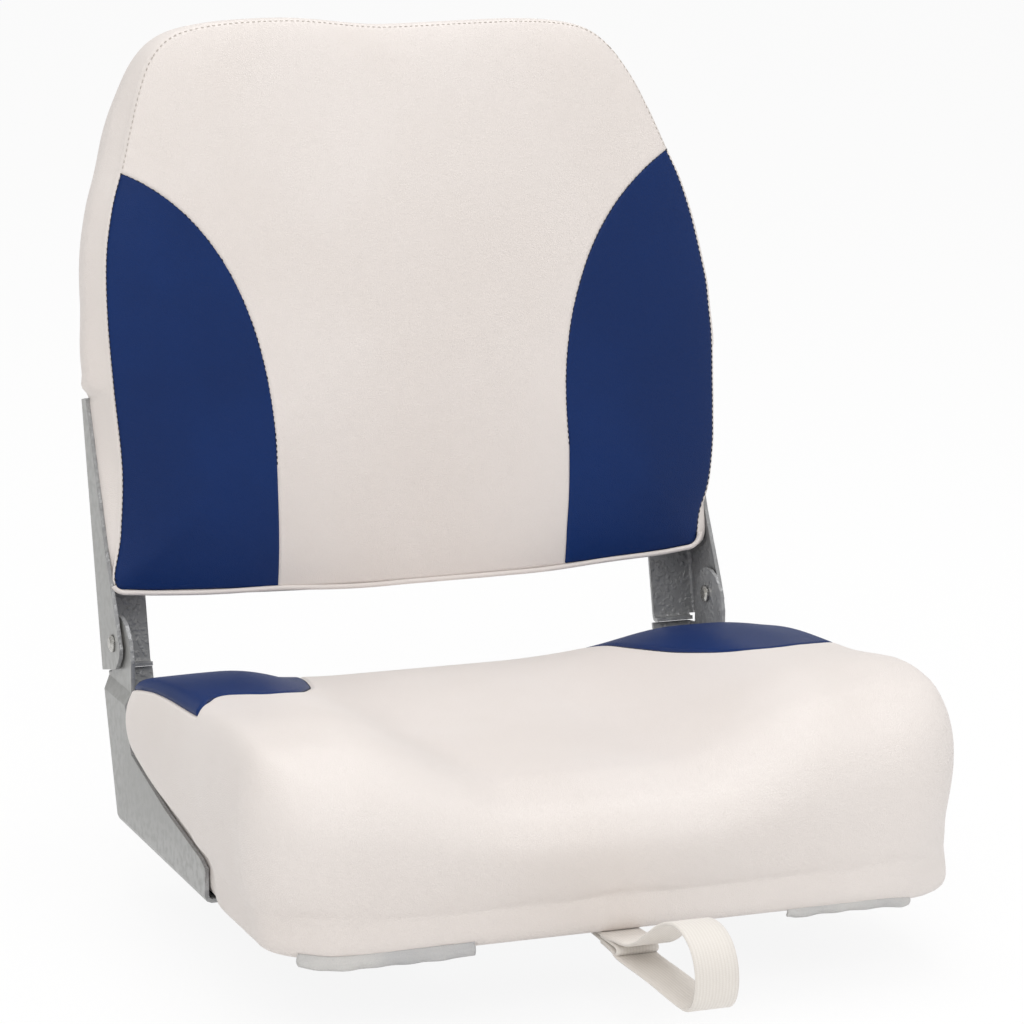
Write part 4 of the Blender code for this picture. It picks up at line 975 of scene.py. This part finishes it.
def backSurface():
    s = backSet
    bm, uLayer, vLayer = gridShell(s["columns"], s["rows"])
    downLayer = bm.verts.layers.float.new("down")
    for vert in bm.verts:
        u, v = vert[uLayer], vert[vLayer]
        flat = backEdge.place(u, v, backCentre)
        bend = s["sag"] * softNoise(Vector((flat.x, 0, flat.y)), 11.0, 3.7)
        vert.co = (flat.x, backFront(flat.y) - backCrown(max(abs(u), abs(v))) - bend, flat.y)
    edges = [edge for edge in bm.edges if edge.is_boundary]

    def boxingOffset(point, normal, t, puff):    # full at the sides, and snug against the bracket's plate
        loose = s["boxing"] * puff * (0.15 + 0.85 * ease(abs(normal.x) + max(0.0, normal.y), 0.3, 0.9))
        z = point.y
        low, high = s["snugReach"]
        reach = low + (high - low) * ease(z, 0.055, 0.15)
        snug = (s["plateInner"] - abs(point.x)) * ease(t, 0, reach) * (1 - 0.35 * ease(t, 0.85, 1))
        near = ease(abs(normal.x), 0.8, 0.97) * ease(z, 0.034, 0.044)
        near *= 1 - ease(z, 0.150, 0.172)
        return loose + (max(snug, loose) - loose) * near

    def ring(t, share, offset, depth=None):
        def placing(vert):
            point, normal = backEdge.at(vert[uLayer], vert[vLayer])
            front = backFront(point.y)
            away = offset(point, normal) if callable(offset) else offset
            flat = backCentre + (point - backCentre) * share + normal * away
            return Vector((flat.x, front + (s["rear"] - front) * t if depth is None else depth, flat.y))
        made = growRing(bm, edges, placing)
        for edge in made:
            for vert in edge.verts:
                vert[downLayer] = t * 0.045 if depth is None else 0.06
        return made

    for k in range(1, s["sideRings"] + 1):
        t = k / s["sideRings"]
        puff = curveAlong(((0, 0), (0.2, 0.75), (0.55, 1), (0.85, 0.5), (1, 0)), t)
        edges = ring(t, 1, lambda point, normal: boxingOffset(point, normal, t, puff))
    for share in (0.985, 0.96, 0.9, 0.75, 0.5):
        edges = ring(1, share, 0, s["rear"])
    closeRing(bm, edges)
    rearRim = [vert for vert in bm.verts if 0.038 < vert[downLayer] < 0.061 and vert.co.y > s["rear"] - 0.012]
    for k in range(3):
        smoothed(bm, rearRim)
    for vert in bm.verts:
        vert.co.y = min(vert.co.y, s["rear"])
    bmesh.ops.recalc_face_normals(bm, faces=bm.faces)
    return bm, (uLayer, vLayer, downLayer)


def backSeamRoute(table):
    a, b, c, d = [Vector((backSet["halfWidth"] * x, backSet["bottom"] + backSet["height"] * z)) for x, z in table]
    route = [Vector((a.x, backSet["bottom"] - 0.05))]
    for k in range(25):
        t = k / 24
        u = 1 - t
        route.append(a * u ** 3 + b * (3 * u * u * t) + c * (3 * u * t * t) + d * t ** 3)
    return route + [route[-1] * 2 - route[-2]]


backSeams = {side: backSeamRoute(table) for side, table in backSet["seams"].items()}
backSeamLegs = {side: list(zip(route, route[1:])) for side, route in backSeams.items()}


def backLevels(bm, layers):
    def rim(vert):
        return rimDistance(vert, layers, backEdge, backCentre)

    def panel(vert):
        if vert[layers[2]] > 0:
            return -vert[layers[2]] - 0.0008
        if abs(vert.co.x) < backSet["panelInner"] or vert.co.z > backSet["panelTop"]:
            return -0.05
        legs = backSeamLegs[-1 if vert.co.x < 0 else 1]
        return min(seamSide(Vector((abs(vert.co.x), vert.co.z)), legs), rim(vert) - 0.0008)
    return rim, panel


backBm, backLayers = backSurface()
rimLevel, panelLevel = backLevels(backBm, backLayers)
for reach in seamReaches:
    refineNear(backBm, lambda vert: min(abs(rimLevel(vert)), abs(panelLevel(vert))), reach)
print("  surface", len(backBm.verts))
backPanelBm = backBm.copy()
backPanelLayers = [backPanelBm.verts.layers.float[name] for name in ("across", "along", "down")]
stripBm = backBm.copy()
stripDown = stripBm.verts.layers.float["down"]


def rimDip(vert):
    d = rimLevel(vert)
    return -backSet["grooveDepth"] * math.exp(-(d / backSet["grooveWidth"]) ** 2) if abs(d) < seamReach else None


pushed(backBm, rimDip)
sinkPanels(backBm, panelLevel, backSet)
backPanelRim, backPanelLevel = backLevels(backPanelBm, backPanelLayers)
panelPieces(backPanelBm, backPanelLevel, backSet, 0.0008)
backTree, backPanelTree = BVHTree.FromBMesh(backBm), BVHTree.FromBMesh(backPanelBm)
backCushion = newPiece("backCushion", backBm, "backrest", "whiteVinyl", backSkin)
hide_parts("back_cover", "back_foam")
bluePanels(backPanelBm, "back", "backrest", backSkin)

print("  closing strip under the back")
bandStart, bandEnd = backSet["stripBand"]


def inStrip(vert):
    return (bandStart < vert[stripDown] < bandEnd and vert.co.z < backSet["bottom"] + backSet["stripRise"]
            and abs(vert.co.x) < backSet["stripHalf"])


unwanted = [face for face in stripBm.faces if not all(inStrip(vert) for vert in face.verts)]
bmesh.ops.delete(stripBm, geom=unwanted, context="FACES")
pushed(stripBm, lambda vert: backSet["stripLift"])
strip = newPiece("backStrip", stripBm, "backrest", "stripCloth", backSkin)
solidified(strip, 0.0010)
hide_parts("back_bottom_strip")


print("piping")
pipingSet = {"radius": 0.0016, "turnUp": (0.985, 0.955), "wave": 0.0012, "count": 150}


def tubePiece(name, points, radius, body, finish, toWorld):
    data = bpy.data.curves.new(name, "CURVE")
    data.dimensions = "3D"
    data.bevel_depth = radius
    data.bevel_resolution = 4
    data.use_fill_caps = True
    spline = data.splines.new("POLY")
    spline.points.add(len(points) - 1)
    for dot, point in zip(spline.points, points):
        place = toWorld(point)
        dot.co = (place.x, place.y, place.z, 1)
    holder = newObject(name, data)
    bpy.context.view_layer.update()
    mesh = bpy.data.meshes.new_from_object(holder.evaluated_get(bpy.context.evaluated_depsgraph_get()))
    bpy.data.objects.remove(holder)
    bm = bmesh.new()
    bm.from_mesh(mesh)
    bmesh.ops.remove_doubles(bm, verts=bm.verts, dist=0.00001)
    return newPiece(name, bm, body, finish)


def rimPoint(u, v, lift):
    point, normal = backEdge.at(u, v)
    out = Vector((normal.x, -0.75, normal.y)).normalized()
    return Vector((point.x, backFront(point.y), point.y)) + out * lift


def pipingRoute():
    s = pipingSet
    left, right = s["turnUp"]
    places = [(-1, -left - (1 - left) * k / 12) for k in range(12)]
    places += [(-1 + 2 * k / s["count"], -1) for k in range(s["count"] + 1)]
    places += [(1, -1 + (1 - right) * k / 12) for k in range(1, 13)]
    route = []
    for u, v in places:
        point = rimPoint(u, v, s["radius"] * 0.45)
        point.z += s["wave"] * softNoise(Vector((point.x, 0, 0)), 17.0, 8.1)
        point.y += s["wave"] * 0.6 * softNoise(Vector((point.x, 0, 0)), 23.0, 2.3)
        route.append(point)
    return route


piping = tubePiece("backPiping", pipingRoute(), pipingSet["radius"], "backrest", "whiteVinyl",
                   backSkin)
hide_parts("back_piping")

print("stitches")
stitchSet = {"pitch": 0.0036, "length": 0.00120, "width": 0.00050, "height": 0.00045, "facing": 0.3,
             "inside": 0.0012}


def walkAlong(points, pitch):    # evenly spaced places on a run of points, with their direction
    places, left = [], pitch / 2
    for a, b in zip(points, points[1:]):
        span = (b - a).length
        way = (b - a).normalized() if span else Vector((0, 1, 0))
        while left < span:
            places.append((a + way * left, way))
            left += pitch
        left -= span
    return places


def addStitch(bm, point, way, normal):
    s = stitchSet
    across = normal.cross(way).normalized()
    up = way.cross(across).normalized()
    turn = Matrix((way, across, up)).transposed().to_4x4()
    size = Matrix.Diagonal((s["length"], s["width"], s["height"], 1))
    bmesh.ops.create_icosphere(bm, subdivisions=1, radius=1, matrix=Matrix.Translation(point) @ turn @ size)


def seamOffset(points, aside):    # a plan curve moved sideways, above zero to its right
    moved = []
    for i, point in enumerate(points):
        run = (points[min(i + 1, len(points) - 1)] - points[max(i - 1, 0)]).normalized()
        moved.append(point + Vector((run.y, -run.x)) * aside)
    return moved


def drawnStitches(name, body, finish, toWorld, runs):
    bm = bmesh.new()
    for points, tree, ray in runs:
        for point, way in walkAlong(points, stitchSet["pitch"]):
            found = tree.ray_cast(point - ray * 0.2, ray)
            if found[0] is None or abs(found[1].dot(ray)) < stitchSet["facing"]:
                continue
            normal = found[1] if found[1].dot(ray) < 0 else -found[1]
            flat = (way - normal * way.dot(normal)).normalized()
            addStitch(bm, found[0] + normal * 0.0001, flat, normal)
    newPiece(name, bm, body, finish, toWorld)


def besideRim(u, v):
    point, normal = backEdge.at(u, v)
    inside = point - normal * stitchSet["inside"]
    return Vector((inside.x, 0, inside.y))


sideRun = [besideRim(1, -1 + 2 * k / 240) for k in range(241)]
blueRun = [point for point in sideRun if point.z < backSeams[1][-2].y]
whiteRun = [point for point in sideRun if point.z >= backSeams[1][-2].y]
topRun = [besideRim(1 - 2 * k / 200, 1) for k in range(201)]
ahead = Vector((0, 1, 0))


def mirrored(points):
    return [Vector((-point.x, point.y, point.z)) for point in points]


seamRuns = [[Vector((side * point.x, 0, point.y)) for point in seamOffset(route, -0.0001)
             if point.y > backSet["bottom"] + 0.002]
            for side, route in backSeams.items()]
darkRuns = [(run, backTree, ahead) for run in seamRuns]
darkRuns += [(run, backPanelTree, ahead) for run in (blueRun, mirrored(blueRun))]
paleRuns = [(run, backTree, ahead) for run in (whiteRun, mirrored(whiteRun), topRun)]
drawnStitches("backDarkStitches", "backrest", "darkThread", backSkin, darkRuns)
drawnStitches("backPaleStitches", "backrest", "whiteThread", backSkin, paleRuns)
down = Vector((0, 0, -1))
seatRuns = [[Vector((side * point.x, point.y, 0)) for point in seamOffset(seam, -0.0006)
             if seatSet["rear"] - 0.008 > point.y and point.x < seatHalf(point.y) - 0.004]
            for side, seam in seatSeams.items()]
drawnStitches("seatDarkStitches", "seat", "darkThread", seatSkin,
              [(run, seatPanelTree, down) for run in seatRuns])

print("hem below the front corners")
hemSet = {
    "left": {"from": -0.192, "to": -0.089, "drop": 0.0017, "end": 0.22, "out": -0.0022},
    "right": {"from": 0.107, "to": 0.181, "drop": 0.0018, "end": 0.16, "out": -0.0042},
    "thickness": 0.0013, "tuck": 0.006, "columns": 64, "rows": 10,
}


def hemPiece(label):
    s, own = hemSet, hemSet[label]
    bm, uLayer, vLayer = gridShell(s["columns"], s["rows"])
    span = seatEdge.runs[0][1][-1]
    for vert in bm.verts:
        u, v = vert[uLayer], vert[vLayer]
        x = own["from"] + (own["to"] - own["from"]) * (u + 1) / 2
        point, normal = seatEdge.at(max(-1, min(1, x / span)), -1)
        end = ease(1 - abs(u), 0, own["end"])
        wave = softNoise(Vector((x, 0, 0)), 46.0, 5.5)
        low = -own["drop"] * (0.35 + 0.65 * end) * (0.82 + 0.3 * wave)
        share = (1 - v) / 2
        z = s["tuck"] + (low - s["tuck"]) * share
        puff = 0.0009 * math.sin(x * 330) * share + 0.0012 * wave * share
        offset = seatBand(point, normal) + own["out"] + puff + 0.0016 * math.sin(share * math.pi)
        vert.co = Vector((point.x + normal.x * offset, point.y + normal.y * offset, z))
    # the hem's finish carries painted shade in its grey tone
    item = newPiece("seatHem" + label.capitalize(), bm, "seat", "hemPaintedShade", seatSkin)
    solidified(item, s["thickness"])


for label in ("left", "right"):
    hemPiece(label)

print("strap")
strapSet = {
    "width": 0.026, "thickness": 0.0021, "reach": 0.135, "rise": 0.050,
    "tail": (0.0395, 0.012), "layer": 0.00135,
    "hinge": (0.002, -0.336, 0.00005),
    "loop": ((0.06, -0.055), (0.13, -0.105), (0.23, -0.115), (0.36, -0.115), (0.55, -0.115), (0.74, -0.115),
             (0.87, -0.095), (0.95, 0.0), (0.99, 0.2), (0.985, 0.45), (0.93, 0.66), (0.83, 0.77), (0.71, 0.76),
             (0.58, 0.63), (0.46, 0.44), (0.36, 0.27), (0.27, 0.155), (0.18, 0.095), (0.09, 0.065), (0.04, 0.04)),
    "fold": ((0.0045, 0.0006), (-0.002, 0.0007), (-0.010, 0.0008), (-0.017, 0.0008), (-0.0195, -0.0005),
             (-0.0195, -0.0023), (-0.017, -0.0036), (-0.010, -0.0036), (-0.003, -0.0032), (0.0045, -0.0028)),
    "steps": 6,
}


def webbingBand(knots, wandering):
    s = strapSet
    route = curveThrough(knots, s["steps"])
    half, thin, turn = s["width"] / 2, s["thickness"] / 2, s["thickness"] * 0.42
    section = [(-half + turn, -thin), (-half, -thin * 0.35), (-half, thin * 0.35), (-half + turn, thin)]
    section += [(x, thin) for x in (-half * 0.5, 0, half * 0.5)]
    section += [(-x, -z) for x, z in section]
    bm = bmesh.new()
    across, along = bm.verts.layers.float.new("acrossLay"), bm.verts.layers.float.new("alongLay")
    index = bm.verts.layers.int.new("index")
    ring = bmesh.ops.create_circle(bm, segments=len(section), radius=1)["verts"]
    for k, vert in enumerate(ring):
        vert[index] = k
    total = 0.0

    def lay(vert, i):
        run = (route[min(i + 1, len(route) - 1)] - route[max(i - 1, 0)]).normalized()
        x, lift = section[vert[index]]
        vert[across], vert[along] = x, total
        wander = wandering * math.sin(total * 24)
        wander *= ease(total, 0.05, 0.12) * (1 - ease(total, 0.24, 0.30))
        return Vector(s["hinge"]) + Vector((x + wander, route[i].x - run.y * lift, route[i].y + run.x * lift))

    for vert in ring:
        vert.co = lay(vert, 0)
    edges = [edge for edge in bm.edges]
    for i in range(1, len(route)):
        total += (route[i] - route[i - 1]).length
        edges = growRing(bm, edges, lambda vert: lay(vert, i))
    closeRing(bm, [edge for edge in bm.edges if edge.is_boundary])
    uv = bm.loops.layers.uv.new("lay")
    for face in bm.faces:
        for loop in face.loops:
            loop[uv].uv = (loop.vert[across], loop.vert[along])
    return bm


def strapPieces():
    s = strapSet
    knots = [Vector((y, -s["layer"])) for y in s["tail"]]
    knots += [Vector((-s["reach"] * a, s["rise"] * b)) for a, b in s["loop"]]
    knots += [Vector((y, s["layer"])) for y in reversed(s["tail"])]
    fold = [Vector(knot) for knot in s["fold"]]
    strap = newPiece("strapWebbing", webbingBand(knots, 0.0012), None, "webbing", seatToWorld, 60)
    newPiece("strapFold", webbingBand(fold, 0), "strap", "webbing", seatToWorld, 60)
    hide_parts("strap_loop", "strap_tail")
    hinge = seatToWorld(Vector(s["hinge"]))
    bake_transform(strap, "seat", "strap", start=hinge + Vector((0, 0.003, 0)), end=hinge - Vector((0, 0.003, 0)))


strapPieces()


print("floor and surroundings")


def makeFloor():
    bm = bmesh.new()
    bmesh.ops.create_grid(bm, x_segments=2, y_segments=2, size=9)
    bmesh.ops.translate(bm, verts=bm.verts, vec=(0, 0, lampSet["floorLevel"]))
    mesh = bpy.data.meshes.new("floor")
    bm.to_mesh(mesh)
    bm.free()
    floor = newObject("floor", mesh)
    material, tree = newMaterial("floorWhite")
    tree.nodes.remove(tree.nodes["Principled BSDF"])
    out = tree.nodes["Material Output"]
    matte = addNode(tree, "ShaderNodeBsdfDiffuse", Color=(0.92, 0.92, 0.92, 1))
    white = addNode(tree, "ShaderNodeEmission", Color=(1, 1, 1, 1), Strength=1.0)
    seen = seenBy(tree, ("Is Camera Ray", "Is Glossy Ray", "Is Transmission Ray"))
    share = times(tree, seen, 1 - lampSet["shadowShare"])
    feed(tree, out.inputs["Surface"], mixShader(tree, share, matte.outputs[0], white.outputs[0]))
    mesh.materials.append(material)


def makeSky():
    world = bpy.data.worlds.new("sky")
    bpy.context.scene.world = world
    world.use_nodes = True
    tree = world.node_tree
    soft = tree.nodes["Background"]
    soft.inputs["Color"].default_value = (1, 0.995, 0.985, 1)
    soft.inputs["Strength"].default_value = lampSet["skyStrength"]
    white = addNode(tree, "ShaderNodeBackground", Color=(1, 1, 1, 1), Strength=1.0)
    seen = seenBy(tree, ("Is Camera Ray", "Is Transmission Ray"))
    feed(tree, tree.nodes["World Output"].inputs["Surface"],
         mixShader(tree, seen, soft.outputs[0], white.outputs[0]))


makeFloor()
makeSky()
